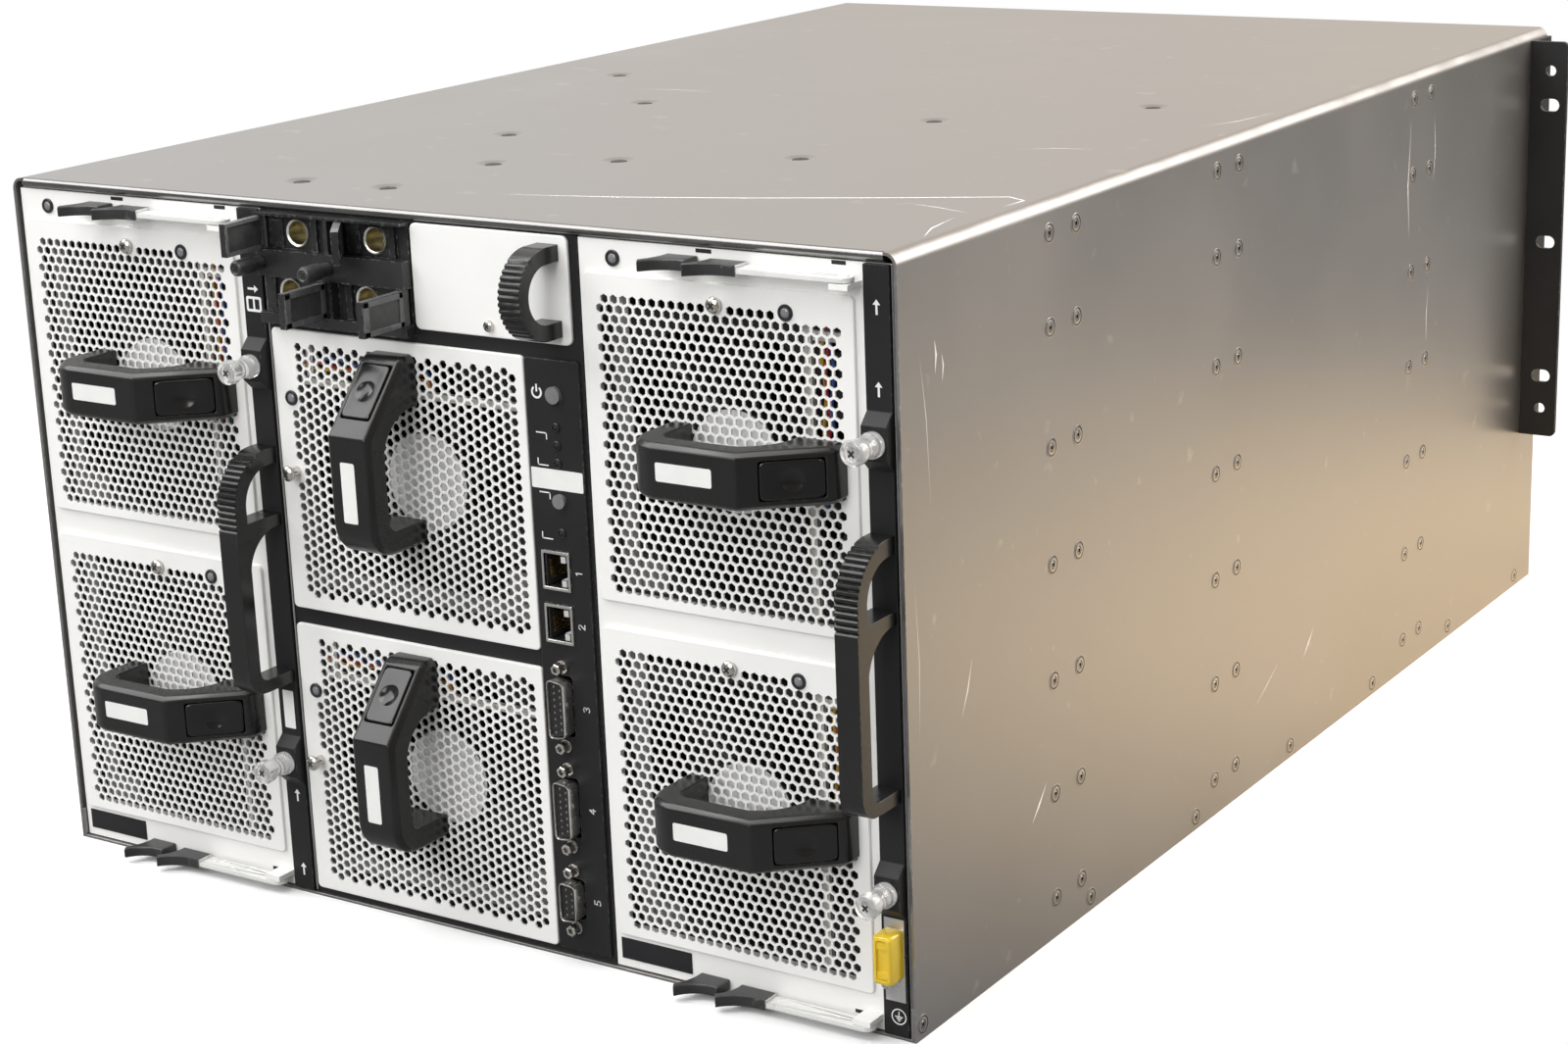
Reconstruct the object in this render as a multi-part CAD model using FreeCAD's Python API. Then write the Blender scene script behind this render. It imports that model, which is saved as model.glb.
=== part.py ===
import FreeCAD
import Part
import math
import os
from FreeCAD import Placement, Rotation, Vector

# Seven-unit rack chassis seen from its service side: two side modules that slide out on the left and
# right, each with two plug-in fans, and a centre column with two more fans, a control strip, a
# direct-current inlet and a blank module.
# Origin: centre of the underside. +X right and -Y towards someone facing the service side, +Z up.

# Chassis sheet metal
CHASSIS_HEIGHT = 304.0
CHASSIS_DEPTH = 672.0
SHELL_WALL = 1.2
SHELL_EDGE_RADIUS = 5.0
HEM_DROP = 4.0
HEM_RETURN = 8.0
PAN_FLANGE = 14.0
PARTITION = 1.2
FACE_SHEET = 1.5
FACE_OVERLAP = 1.5
BAY_CLEARANCE = 0.5
BAY_DEPTH = 300.0
MIDPLANE = 3.0
SHELF = 2.0
CENTRE_BAR = 7.0
FRONT_PANEL_COUNT = 6
FRONT_PANEL_SHEET = 1.5

# Rack ears
EAR_SETBACK = 24.0
RACK_WIDTH = 482.6
EAR_SHEET = 2.5
EAR_BOTTOM = 87.0
EAR_HEIGHT = 212.5
EAR_CORNER = 3.0
EAR_SLOT_PITCH = 73.025
EAR_SLOT_RADIUS = 3.4
EAR_SLOT_LENGTH = 10.2
EAR_HOLE_RADIUS = 2.8
EAR_HOLE_OFFSET = 18.0
RACK_HOLE_SPACING = 465.1

# Fan modules: cover, fan and rotor
FAN_COVER_WIDTH = 120.0
FAN_COVER_HEIGHT = 130.0
FAN_SKIRT_SHEET = 1.2
FAN_SKIRT_DEPTH = 46.0
GRILLE_MARGIN_X = 5.5
GRILLE_MARGIN_Z = 6.5
GRILLE_PITCH = 26.0
GRILLE_WEB = 2.6
FAN_STANDOFF = 4.0
FAN_THICKNESS = 38.0
FAN_DROP = 5.0
FAN_DUCT_CLEARANCE = 1.5
FAN_DUCT_WALL = 2.8
FAN_DUCT_SIDES = 24
HUB_RADIUS = 21.0
HUB_SIDES = 21
HUB_FRONT_GAP = 4.0
HUB_BACK_GAP = 2.5
SPIDER_THICKNESS = 4.0
SPIDER_ARM = 8.0
SHAFT_RADIUS = 3.0
SHAFT_CLEARANCE = 0.06
SHAFT_LENGTH = 22.0
BLADE_COUNT = 7
BLADE_THICKNESS = 2.0
BLADE_CHORD = 27.0
BLADE_PITCH = 38.0

# Fan handle and its release button
HANDLE_END_MARGIN = 4.5
HANDLE_LENGTH = 78.0
HANDLE_HEIGHT = 22.0
HANDLE_REACH = 32.0
HANDLE_BAR = 10.0
HANDLE_LEG = 10.0
HANDLE_FLAT = 50.0
HANDLE_SLOPE_END = 9.0
HANDLE_END_INSET = 1.5
HANDLE_CORNER = 14.0
HANDLE_INNER_CORNER = 5.0
HANDLE_FOOT = 21.0
HANDLE_SWEEP = 14.5
HANDLE_CHAMFER = 2.0
BUTTON_LENGTH = 24.0
BUTTON_OFFSET = 3.5
BUTTON_WIDTH = 14.5
BUTTON_PROUD = 0.5
BUTTON_THICKNESS = 4.0
BUTTON_TRAVEL = 2.0
BUTTON_CLEARANCE = 0.3
SCOOP_RADIUS = 12.0
SCOOP_DEPTH = 0.9
SCOOP_WIDTH = 10.0

# Side modules
TRAY_MARGIN_LEFT = 2.5
TRAY_MARGIN_RIGHT = 4.5
TRAY_MARGIN_TOP = 12.5
TRAY_MARGIN_BOTTOM = 14.4
TRAY_SHEET = 1.2
TRAY_DEPTH = 290.0
TRAY_LIP = 8.0
TRAY_RAIL = 5.0
BOARD_THICKNESS = 1.6
BOARD_SETBACK = 60.0
STRIP_WIDTH = 11.0
STRIP_THICKNESS = 2.0
STRIP_BOSS_LENGTH = 22.0
STRIP_BOSS_RISE = 4.5
CAPTIVE_SCREW_TOP = 235.0
CAPTIVE_SCREW_BOTTOM = 61.5
CAPTIVE_HEAD_RADIUS = 5.0
CAPTIVE_HEAD_LENGTH = 15.5
CAPTIVE_SHANK_RADIUS = 2.5
CAPTIVE_SHANK_LENGTH = 18.0
SCREW_CLEARANCE = 0.1
HEAD_CLEARANCE = 0.3

# Pull handle on the strip
PULL_WIDTH = 10.0
PULL_BOTTOM = 97.5
PULL_HEIGHT = 103.0
PULL_REACH = 27.0
PULL_BAR = 7.0
PULL_FOOT = 5.4
PULL_TOP_RADIUS = 22.0
PULL_BOTTOM_RADIUS = 10.0
PULL_MIDDLE_FOOT = 74.4
PULL_FLARE = 14.0
RIDGE_COUNT = 14
RIDGE_PITCH = 2.7
RIDGE_GROOVE = 1.2

# Ejector levers
LEVER_PIVOT_INSET = 5.5
LEVER_LENGTH = 64.5
LEVER_WIDTH = 8.0
LEVER_THICKNESS = 2.0
LEVER_GAP = 1.8
LEVER_TOP_INSET = 5.3
LEVER_BOTTOM_INSET = 3.2
LEVER_PIN_RADIUS = 2.0
LEVER_PIN_CLEARANCE = 0.1
LEVER_EAR = 2.2
GRIP_LENGTH = 21.0
GRIP_REACH = 15.0
GRIP_THICKNESS = 4.4
GRIP_ENGAGE = 13.0
TAB_GAP = 2.0
TAB_LENGTH = 18.0

# Direct-current inlet
TERMINAL_WIDTH = 77.0
TERMINAL_HEIGHT = 45.5
TERMINAL_FLANGE = 2.0
TERMINAL_RISE = 4.5
TERMINAL_BODY_DEPTH = 40.0
TERMINAL_TOP_WALL = 1.0
TERMINAL_BOTTOM_WALL = 4.5
TERMINAL_MID_BAR = 11.0
TERMINAL_MID_BOTTOM = 19.5
TERMINAL_RIB = 1.5
TERMINAL_CATCH = 3.0
TERMINAL_CATCH_RISE = 1.6
TERMINAL_CATCH_GAP = 1.0
TERMINAL_CELL_PITCH = 40.5
SOCKET_RADIUS = 5.8
SOCKET_WALL = 0.8
SOCKET_PROUD = 0.8
SOCKET_BORE = 30.4
SOCKET_TAIL = 1.2
SOCKET_CLEARANCE = 0.05
SOCKET_TOP_X = 19.8
SOCKET_TOP_Z = 37.4
SOCKET_BOTTOM_X = 13.8
SOCKET_BOTTOM_Z = 12.8
FLAP_TOP_LENGTH = 24.0
FLAP_BOTTOM_LENGTH = 27.0
FLAP_SHEET = 2.0
FLAP_RIM = 1.0
FLAP_RIM_WALL = 1.5
FLAP_CLEARANCE = 0.3
FLAP_KNUCKLE_RADIUS = 1.7
FLAP_PIN_RADIUS = 1.0
FLAP_PIN_LENGTH = 0.6
FLAP_HINGE_TOP_X = 2.9
FLAP_HINGE_BOTTOM_X = 34.6
FLAP_OPEN_A_TOP = 88.0
FLAP_OPEN_B_TOP = 52.0
FLAP_OPEN_BOTTOM = 90.0
TERMINAL_SCREW_RADIUS = 3.4
TERMINAL_SCREW_REACH = 15.0
TERMINAL_SCREW_SHANK = 2.0
TERMINAL_SCREW_X = 2.4

# Blank module
FILLER_WIDTH = 77.0
FILLER_HEIGHT = 42.5
FILLER_SKIRT_DEPTH = 60.0
C_HANDLE_INSET = 4.0
C_HANDLE_WIDTH = 10.0
C_HANDLE_HEIGHT = 36.0
C_HANDLE_REACH = 26.0
C_HANDLE_BAR = 6.5
C_HANDLE_RIDGES = 13

# Control strip
CONTROL_WIDTH = 26.3
CONTROL_CENTRE = 14.0
CONTROL_CONNECTOR_X = 10.4
CONTROL_FRAME_MARGIN = 3.0
POWER_BUTTON_SHARE = 0.09
POWER_BUTTON_RADIUS = 3.4
ALARM_BUTTON_SHARE = 0.753
ALARM_BUTTON_RADIUS = 2.9
PANEL_BUTTON_PROUD = 1.5
PANEL_BUTTON_FLANGE = 0.9
PANEL_BUTTON_LENGTH = 6.0
PANEL_BUTTON_CLEARANCE = 0.2
PANEL_BUTTON_TRAVEL = 1.0
JACK_WIDTH = 13.6
JACK_HEIGHT = 16.2
JACK_DEPTH = 20.0
JACK_PROUD = 1.0
JACK_WALL = 1.6
JACK_CAVITY_DEPTH = 15.0
JACK_RISES = (161.9, 139.9)
DSUB_FLANGE_WIDTH = 12.5
DSUB_FLANGE_SHEET = 0.8
DSUB_FLANGE_MARGIN = 7.0
DSUB_SHELL_WIDTH = 8.4
DSUB_SHELL_PROUD = 5.8
DSUB_SHELL_WALL = 0.7
DSUB_TAPER = 1.5
DSUB_BODY_DEPTH = 9.0
DSUB_RISES_AND_LENGTHS = ((105.6, 25.0), (62.5, 25.0), (23.1, 16.9))
CONNECTOR_CLEARANCE = 0.3

# Earth cap
CAP_WIDTH = 8.4
CAP_DEPTH = 9.5
CAP_BOTTOM = 20.0
CAP_HEIGHT = 26.0
CAP_WALL = 1.2

# Places worked out from the sizes above
FAN_OPENING_WIDTH = FAN_COVER_WIDTH - 2 * FACE_OVERLAP
FAN_OPENING_HEIGHT = FAN_COVER_HEIGHT - 2 * FACE_OVERLAP
FAN_SKIRT_WIDTH = FAN_OPENING_WIDTH - 2 * BAY_CLEARANCE
FAN_SKIRT_HEIGHT = FAN_OPENING_HEIGHT - 2 * BAY_CLEARANCE
HANDLE_OFFSET = FAN_COVER_WIDTH / 2 - HANDLE_END_MARGIN - HANDLE_LENGTH
FAN_SIZE = FAN_SKIRT_WIDTH - 2 * FAN_SKIRT_SHEET
DUCT_RADIUS = FAN_SIZE / 2 - FAN_DUCT_WALL
BLADE_TIP_RADIUS = DUCT_RADIUS - FAN_DUCT_CLEARANCE
MODULE_WIDTH = TRAY_MARGIN_LEFT + FAN_COVER_WIDTH + TRAY_MARGIN_RIGHT + STRIP_WIDTH
LEVER_PIVOT = MODULE_WIDTH - STRIP_WIDTH - LEVER_PIVOT_INSET
CENTRE_WIDTH = FAN_COVER_HEIGHT + CONTROL_WIDTH + 3 * BAY_CLEARANCE
HALF_CENTRE = CENTRE_WIDTH / 2
HALF_WIDTH = HALF_CENTRE + PARTITION + MODULE_WIDTH + 2 * BAY_CLEARANCE + 2 * SHELL_WALL
HALF_INNER = HALF_WIDTH - SHELL_WALL
EAR_WIDTH = RACK_WIDTH / 2 - HALF_WIDTH
HALF_BAY = HALF_INNER - SHELL_WALL
REAR = -CHASSIS_DEPTH / 2
FRONT = CHASSIS_DEPTH / 2
FACE = REAR + FACE_SHEET
FACE_BACK = FACE + FACE_SHEET
MODULE_BOTTOM = SHELL_WALL + BAY_CLEARANCE
MODULE_TOP = CHASSIS_HEIGHT - HEM_DROP - BAY_CLEARANCE
MODULE_LEFTS = {"left": -HALF_BAY + BAY_CLEARANCE, "right": HALF_BAY - BAY_CLEARANCE - MODULE_WIDTH}
LOWER_FAN_Z = MODULE_BOTTOM + TRAY_MARGIN_BOTTOM + FAN_COVER_HEIGHT / 2
UPPER_FAN_Z = MODULE_TOP - TRAY_MARGIN_TOP - FAN_COVER_HEIGHT / 2
TERMINAL_BOTTOM = MODULE_TOP - TERMINAL_HEIGHT
SHELF_TOP = TERMINAL_BOTTOM - BAY_CLEARANCE
CENTRE_FAN_TOP = SHELF_TOP - SHELF - BAY_CLEARANCE
CENTRE_FAN_X = -HALF_CENTRE + BAY_CLEARANCE + FAN_COVER_HEIGHT / 2
CENTRE_UPPER_Z = CENTRE_FAN_TOP - FAN_COVER_WIDTH / 2
CENTRE_LOWER_Z = CENTRE_UPPER_Z - FAN_COVER_WIDTH - CENTRE_BAR
CENTRE_FAN_BOTTOM = CENTRE_LOWER_Z - FAN_COVER_WIDTH / 2
CONTROL_LEFT = HALF_CENTRE - BAY_CLEARANCE - CONTROL_WIDTH
JACK_Z = tuple(CENTRE_FAN_BOTTOM + rise for rise in JACK_RISES)
DSUB_Z_AND_LENGTH = tuple((CENTRE_FAN_BOTTOM + rise, length) for rise, length in DSUB_RISES_AND_LENGTHS)
HIGHEST_BUTTON_Z = CENTRE_FAN_TOP - CONTROL_FRAME_MARGIN - POWER_BUTTON_RADIUS - 2 * PANEL_BUTTON_FLANGE
LOWEST_BUTTON_Z = JACK_Z[0] + JACK_HEIGHT / 2 + ALARM_BUTTON_RADIUS + 2 * PANEL_BUTTON_FLANGE
BUTTON_ROOM = HIGHEST_BUTTON_Z - LOWEST_BUTTON_Z
POWER_BUTTON_Z = HIGHEST_BUTTON_Z - POWER_BUTTON_SHARE * BUTTON_ROOM
ALARM_BUTTON_Z = HIGHEST_BUTTON_Z - ALARM_BUTTON_SHARE * BUTTON_ROOM
TERMINAL_LEFT = -HALF_CENTRE + BAY_CLEARANCE
TERMINAL_BACK = FACE + TERMINAL_BODY_DEPTH
FILLER_LEFT = TERMINAL_LEFT + TERMINAL_WIDTH + BAY_CLEARANCE
FILLER_BOTTOM = MODULE_TOP - FILLER_HEIGHT
UPRIGHT = Rotation()
QUARTER_TURN = Rotation(Vector(0, 1, 0), -90)
FAN_INSET = TRAY_MARGIN_LEFT + FAN_COVER_WIDTH / 2
FAN_PLACES = {
    "fan_left_top": (MODULE_LEFTS["left"] + FAN_INSET, UPPER_FAN_Z, UPRIGHT),
    "fan_left_bottom": (MODULE_LEFTS["left"] + FAN_INSET, LOWER_FAN_Z, UPRIGHT),
    "fan_right_top": (MODULE_LEFTS["right"] + FAN_INSET, UPPER_FAN_Z, UPRIGHT),
    "fan_right_bottom": (MODULE_LEFTS["right"] + FAN_INSET, LOWER_FAN_Z, UPRIGHT),
    "fan_center_top": (CENTRE_FAN_X, CENTRE_UPPER_Z, QUARTER_TURN),
    "fan_center_bottom": (CENTRE_FAN_X, CENTRE_LOWER_Z, QUARTER_TURN),
}


def block(x0, x1, y0, y1, z0, z1):
    """A box between two corners."""
    return Part.makeBox(x1 - x0, y1 - y0, z1 - z0, Vector(x0, y0, z0))


def rod(radius, start, end):
    """A cylinder from one point to another."""
    axis = end - start
    return Part.makeCylinder(radius, axis.Length, start, axis)


def prism(radius, sides, start, end):
    """A many-sided bar along Y, its flats at the given radius."""
    corner = radius / math.cos(math.pi / sides)
    points = []
    for i in range(sides + 1):
        angle = 2 * math.pi * (i + 0.5) / sides
        points.append(start + Vector(corner * math.cos(angle), 0, corner * math.sin(angle)))
    return Part.Face(Part.makePolygon(points)).extrude(end - start)


def join(first, *others):
    """One solid from pieces of the same part."""
    return first.multiFuse(list(others)).removeSplitter()


def outline(steps):
    """A closed face from points; a step with two points is an arc through the first to the second."""
    edges = []
    here = steps[0]
    for step in steps[1:] + [steps[0]]:
        if isinstance(step, tuple):
            edges.append(Part.Arc(here, step[0], step[1]).toShape())
            here = step[1]
        else:
            edges.append(Part.LineSegment(here, step).toShape())
            here = step
    return Part.Face(Part.Wire(edges))


def pierced(wires):
    """A flat face inside the first wire, with the other wires as its holes."""
    return Part.makeFace(wires, "Part::FaceMakerBullseye")


def bend(centre, radius, start, end, plane):
    """The middle and end points of an arc in a plane, between two angles in degrees."""
    def at(angle):
        turn = math.radians(angle)
        return plane(centre[0] + radius * math.cos(turn), centre[1] + radius * math.sin(turn))
    return (at((start + end) / 2), at(end))


def windowed_sheet(sheet, windows):
    """A flat rectangular sheet in the XZ plane with rectangular windows, as (x0, x1, z0, z1)."""
    y0, y1 = sheet[2:4]
    return block(*sheet).cut([block(a, b, y0 - 1, y1 + 1, c, d) for a, b, c, d in windows])


def skirt(half_width, half_height, sheet, y0, y1):
    """Four walls behind a flanged cover, open at the back."""
    outer = block(-half_width, half_width, y0, y1, -half_height, half_height)
    return outer.cut(block(-half_width + sheet, half_width - sheet, y0 - 1, y1 + 1,
                           -half_height + sheet, half_height - sheet))


def save(name, *solids):
    """Write one named piece."""
    shape = solids[0] if len(solids) == 1 else Part.makeCompound(list(solids))
    shape.exportStep("parts/" + name + ".step")


def make_outer_wrap():
    """Top and both sides folded from one sheet, with the rear top edge hemmed."""
    flat = lambda x, z: Vector(x, REAR, z)
    radius = SHELL_EDGE_RADIUS
    inner = radius - SHELL_WALL
    edge = HALF_WIDTH - radius
    crown = CHASSIS_HEIGHT - radius
    steps = [
        flat(HALF_WIDTH, 0),
        flat(HALF_WIDTH, crown),
        bend((edge, crown), radius, 0, 90, flat),
        flat(-edge, CHASSIS_HEIGHT),
        bend((-edge, crown), radius, 90, 180, flat),
        flat(-HALF_WIDTH, 0),
        flat(-HALF_INNER, 0),
        flat(-HALF_INNER, crown),
        bend((-edge, crown), inner, 180, 90, flat),
        flat(edge, CHASSIS_HEIGHT - SHELL_WALL),
        bend((edge, crown), inner, 90, 0, flat),
        flat(HALF_INNER, 0),
    ]
    wrap = outline(steps).extrude(Vector(0, CHASSIS_DEPTH, 0))
    fold = block(-edge, edge, REAR, REAR + SHELL_WALL, CHASSIS_HEIGHT - HEM_DROP, CHASSIS_HEIGHT - SHELL_WALL)
    returned = block(-edge, edge, REAR, REAR + HEM_RETURN,
                     CHASSIS_HEIGHT - HEM_DROP, CHASSIS_HEIGHT - HEM_DROP + SHELL_WALL)
    return join(wrap, fold, returned)


def make_bottom_pan():
    """Floor sheet with a flange turned up along each side."""
    end = FRONT - 2 * FRONT_PANEL_SHEET
    floor = block(-HALF_INNER, HALF_INNER, REAR, end, 0, SHELL_WALL)
    flanges = [block(x, x + SHELL_WALL, REAR, end, 0, PAN_FLANGE) for x in (-HALF_INNER, HALF_BAY)]
    return join(floor, *flanges)


def make_bay_frame():
    """Black rear frame: partitions either side of the centre column, a shelf and a face with openings."""
    top = CHASSIS_HEIGHT - HEM_DROP
    half_fan_x = FAN_OPENING_HEIGHT / 2
    half_fan_z = FAN_OPENING_WIDTH / 2
    windows = [(CENTRE_FAN_X - half_fan_x, CENTRE_FAN_X + half_fan_x, z - half_fan_z, z + half_fan_z)
               for z in (CENTRE_UPPER_Z, CENTRE_LOWER_Z)]
    windows.append((CONTROL_LEFT + CONTROL_FRAME_MARGIN, CONTROL_LEFT + CONTROL_WIDTH - CONTROL_FRAME_MARGIN,
                    CENTRE_FAN_BOTTOM + CONTROL_FRAME_MARGIN, CENTRE_FAN_TOP - CONTROL_FRAME_MARGIN))
    windows.append((TERMINAL_LEFT + FACE_OVERLAP, TERMINAL_LEFT + TERMINAL_WIDTH - FACE_OVERLAP,
                    TERMINAL_BOTTOM + FACE_OVERLAP, MODULE_TOP - FACE_OVERLAP))
    windows.append((FILLER_LEFT + FACE_OVERLAP, FILLER_LEFT + FILLER_WIDTH - FACE_OVERLAP,
                    FILLER_BOTTOM + FACE_OVERLAP, MODULE_TOP - FACE_OVERLAP))
    face = windowed_sheet((-HALF_CENTRE, HALF_CENTRE, FACE, FACE_BACK, SHELL_WALL, top), windows)
    walls = [block(x, x + PARTITION, FACE, FACE + BAY_DEPTH, SHELL_WALL, top)
             for x in (-HALF_CENTRE - PARTITION, HALF_CENTRE)]
    shelf = block(-HALF_CENTRE, HALF_CENTRE, FACE, FACE + BAY_DEPTH, SHELF_TOP - SHELF, SHELF_TOP)
    return join(face, shelf, *walls)


def make_midplane():
    """Plain board across the inside that the modules plug into."""
    start = FACE + BAY_DEPTH
    return block(-HALF_BAY, HALF_BAY, start, start + MIDPLANE, SHELL_WALL, CHASSIS_HEIGHT - SHELL_EDGE_RADIUS)


def make_front_panels():
    """Plain filler panels, one over the other, in the front opening."""
    half = HALF_INNER - BAY_CLEARANCE
    pitch = (CHASSIS_HEIGHT - SHELL_EDGE_RADIUS) / FRONT_PANEL_COUNT
    return [block(-half, half, FRONT - FRONT_PANEL_SHEET, FRONT,
                  i * pitch + BAY_CLEARANCE / 2, (i + 1) * pitch - BAY_CLEARANCE / 2)
            for i in range(FRONT_PANEL_COUNT)]


def make_rack_ear(side):
    """L bracket on a side wall: a slotted flange facing the rear and a leg along the wall."""
    wall = side * HALF_WIDTH
    back = FRONT - EAR_SETBACK
    tip = wall + side * EAR_WIDTH
    top = EAR_BOTTOM + EAR_HEIGHT
    flat = lambda x, z: Vector(x, back, z)
    inset = tip - side * EAR_CORNER
    outward = 0 if side > 0 else 180
    steps = [
        flat(wall, EAR_BOTTOM),
        flat(inset, EAR_BOTTOM),
        bend((inset, EAR_BOTTOM + EAR_CORNER), EAR_CORNER, -90, -90 + side * 90, flat),
        flat(tip, top - EAR_CORNER),
        bend((inset, top - EAR_CORNER), EAR_CORNER, outward, 90, flat),
        flat(wall, top),
    ]
    middle = EAR_BOTTOM + EAR_HEIGHT / 2
    centre = side * RACK_HOLE_SPACING / 2
    half_slot = EAR_SLOT_LENGTH / 2 - EAR_SLOT_RADIUS
    holes = []
    for step in (-1, 0, 1):
        z = middle + step * EAR_SLOT_PITCH
        slot = outline([
            flat(centre + half_slot, z - EAR_SLOT_RADIUS),
            bend((centre + half_slot, z), EAR_SLOT_RADIUS, -90, 90, flat),
            flat(centre - half_slot, z + EAR_SLOT_RADIUS),
            bend((centre - half_slot, z), EAR_SLOT_RADIUS, 90, 270, flat),
        ])
        holes.append(slot.OuterWire)
    for step in (-1, 1):
        z = middle + step * (EAR_SLOT_PITCH + EAR_HOLE_OFFSET)
        circle = Part.makeCircle(EAR_HOLE_RADIUS, flat(centre, z), Vector(0, 1, 0))
        holes.append(Part.Wire(circle))
    flange = pierced([outline(steps).OuterWire] + holes).extrude(Vector(0, EAR_SHEET, 0))
    leg = block(min(wall, wall + side * EAR_SHEET), max(wall, wall + side * EAR_SHEET),
                back, FRONT, EAR_BOTTOM, top)
    return join(flange, leg)


def grille_holes(y):
    """Rows of hexagon wires, each row staggered by half a pitch."""
    radius = (GRILLE_PITCH - GRILLE_WEB) / math.sqrt(3)
    row_pitch = GRILLE_PITCH * math.sqrt(3) / 2
    field_x = FAN_COVER_WIDTH - 2 * GRILLE_MARGIN_X
    field_z = FAN_COVER_HEIGHT - 2 * GRILLE_MARGIN_Z
    rows = int((field_z - 2 * radius) / row_pitch) + 1
    columns = int((field_x - GRILLE_PITCH + GRILLE_WEB) / GRILLE_PITCH) + 1
    wires = []
    for row in range(rows):
        count = columns - row % 2
        z = (row - (rows - 1) / 2) * row_pitch
        for column in range(count):
            x = (column - (count - 1) / 2) * GRILLE_PITCH
            angles = [math.radians(60 * i + 30) for i in range(7)]
            wires.append(Part.makePolygon([Vector(x + radius * math.cos(a), y, z + radius * math.sin(a))
                                           for a in angles]))
    return wires


def make_fan_cover():
    """Flanged cover, pierced by the grille, with the skirt that slides into its bay."""
    half_x = FAN_COVER_WIDTH / 2
    half_z = FAN_COVER_HEIGHT / 2
    corners = [(-1, -1), (1, -1), (1, 1), (-1, 1), (-1, -1)]
    rim = Part.makePolygon([Vector(x * half_x, 0, z * half_z) for x, z in corners])
    sheet = pierced([rim] + grille_holes(0)).extrude(Vector(0, FACE_SHEET, 0))
    walls = skirt(FAN_SKIRT_WIDTH / 2, FAN_SKIRT_HEIGHT / 2, FAN_SKIRT_SHEET, FACE_SHEET, FAN_SKIRT_DEPTH)
    return join(sheet, walls)


def make_fan_frame():
    """Square fan frame with its duct, a four-armed spider at the back and the rotor's fixed shaft."""
    half = FAN_SIZE / 2
    start = FACE_SHEET + FAN_STANDOFF
    end = start + FAN_THICKNESS
    axis = lambda y: Vector(0, y, -FAN_DROP)
    frame = block(-half, half, start, end, -half - FAN_DROP, half - FAN_DROP)
    frame = frame.cut(prism(DUCT_RADIUS, FAN_DUCT_SIDES, axis(start - 1), axis(end + 1)))
    spider = end - SPIDER_THICKNESS
    arm = SPIDER_ARM / 2
    level_arm = block(-half, half, spider, end, -arm - FAN_DROP, arm - FAN_DROP)
    upright_arm = block(-arm, arm, spider, end, -half - FAN_DROP, half - FAN_DROP)
    shaft = rod(SHAFT_RADIUS, axis(spider - SHAFT_LENGTH), axis(end))
    return join(frame, shaft, level_arm, upright_arm)


def make_rotor():
    """Hub with a blind bore on the shaft and a ring of pitched blades."""
    start = FACE_SHEET + FAN_STANDOFF + HUB_FRONT_GAP
    end = FACE_SHEET + FAN_STANDOFF + FAN_THICKNESS - SPIDER_THICKNESS - HUB_BACK_GAP
    axis = lambda y: Vector(0, y, 0)
    middle = (start + end) / 2
    pitch = math.radians(BLADE_PITCH)
    half_width = (BLADE_CHORD * math.sin(pitch) + BLADE_THICKNESS * math.cos(pitch)) / 2
    tip = math.sqrt(BLADE_TIP_RADIUS ** 2 - half_width ** 2)
    blank = block(-BLADE_THICKNESS / 2, BLADE_THICKNESS / 2, -BLADE_CHORD / 2, BLADE_CHORD / 2,
                  HUB_RADIUS / 2, tip)
    blank.rotate(Vector(0, 0, 0), Vector(0, 0, 1), BLADE_PITCH)
    blank.translate(axis(middle))
    blades = []
    for i in range(BLADE_COUNT):
        blade = blank.copy()
        blade.rotate(axis(0), axis(1), i * 360 / BLADE_COUNT)
        blades.append(blade)
    wheel = join(prism(HUB_RADIUS, HUB_SIDES, axis(start), axis(end)), *blades)
    bore_depth = SHAFT_LENGTH - HUB_BACK_GAP + 1
    wheel = wheel.cut(rod(SHAFT_RADIUS + SHAFT_CLEARANCE, axis(end - bore_depth), axis(end + 1)))
    wheel.translate(Vector(0, 0, -FAN_DROP))
    return wheel


def handle_slope():
    """Where the handle's slope starts, its direction and its outward normal, seen from above."""
    start = Vector(HANDLE_OFFSET + HANDLE_FLAT, -HANDLE_REACH, 0)
    end = Vector(HANDLE_OFFSET + HANDLE_LENGTH - HANDLE_END_INSET, -HANDLE_SLOPE_END, 0)
    along = (end - start).normalize()
    return start, end, along, Vector(along.y, -along.x, 0)


def on_slope(shape):
    """Move a shape from the XY plane, +Z outwards, to the button's place on the handle's slope."""
    start, end, along, normal = handle_slope()
    middle = (start + end) * 0.5 + along * BUTTON_OFFSET
    turn = Rotation(along, Vector(0, 0, 1).cross(along) * -1, normal, "XZY")
    shape.Placement = Placement(middle, turn)
    return shape


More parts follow.
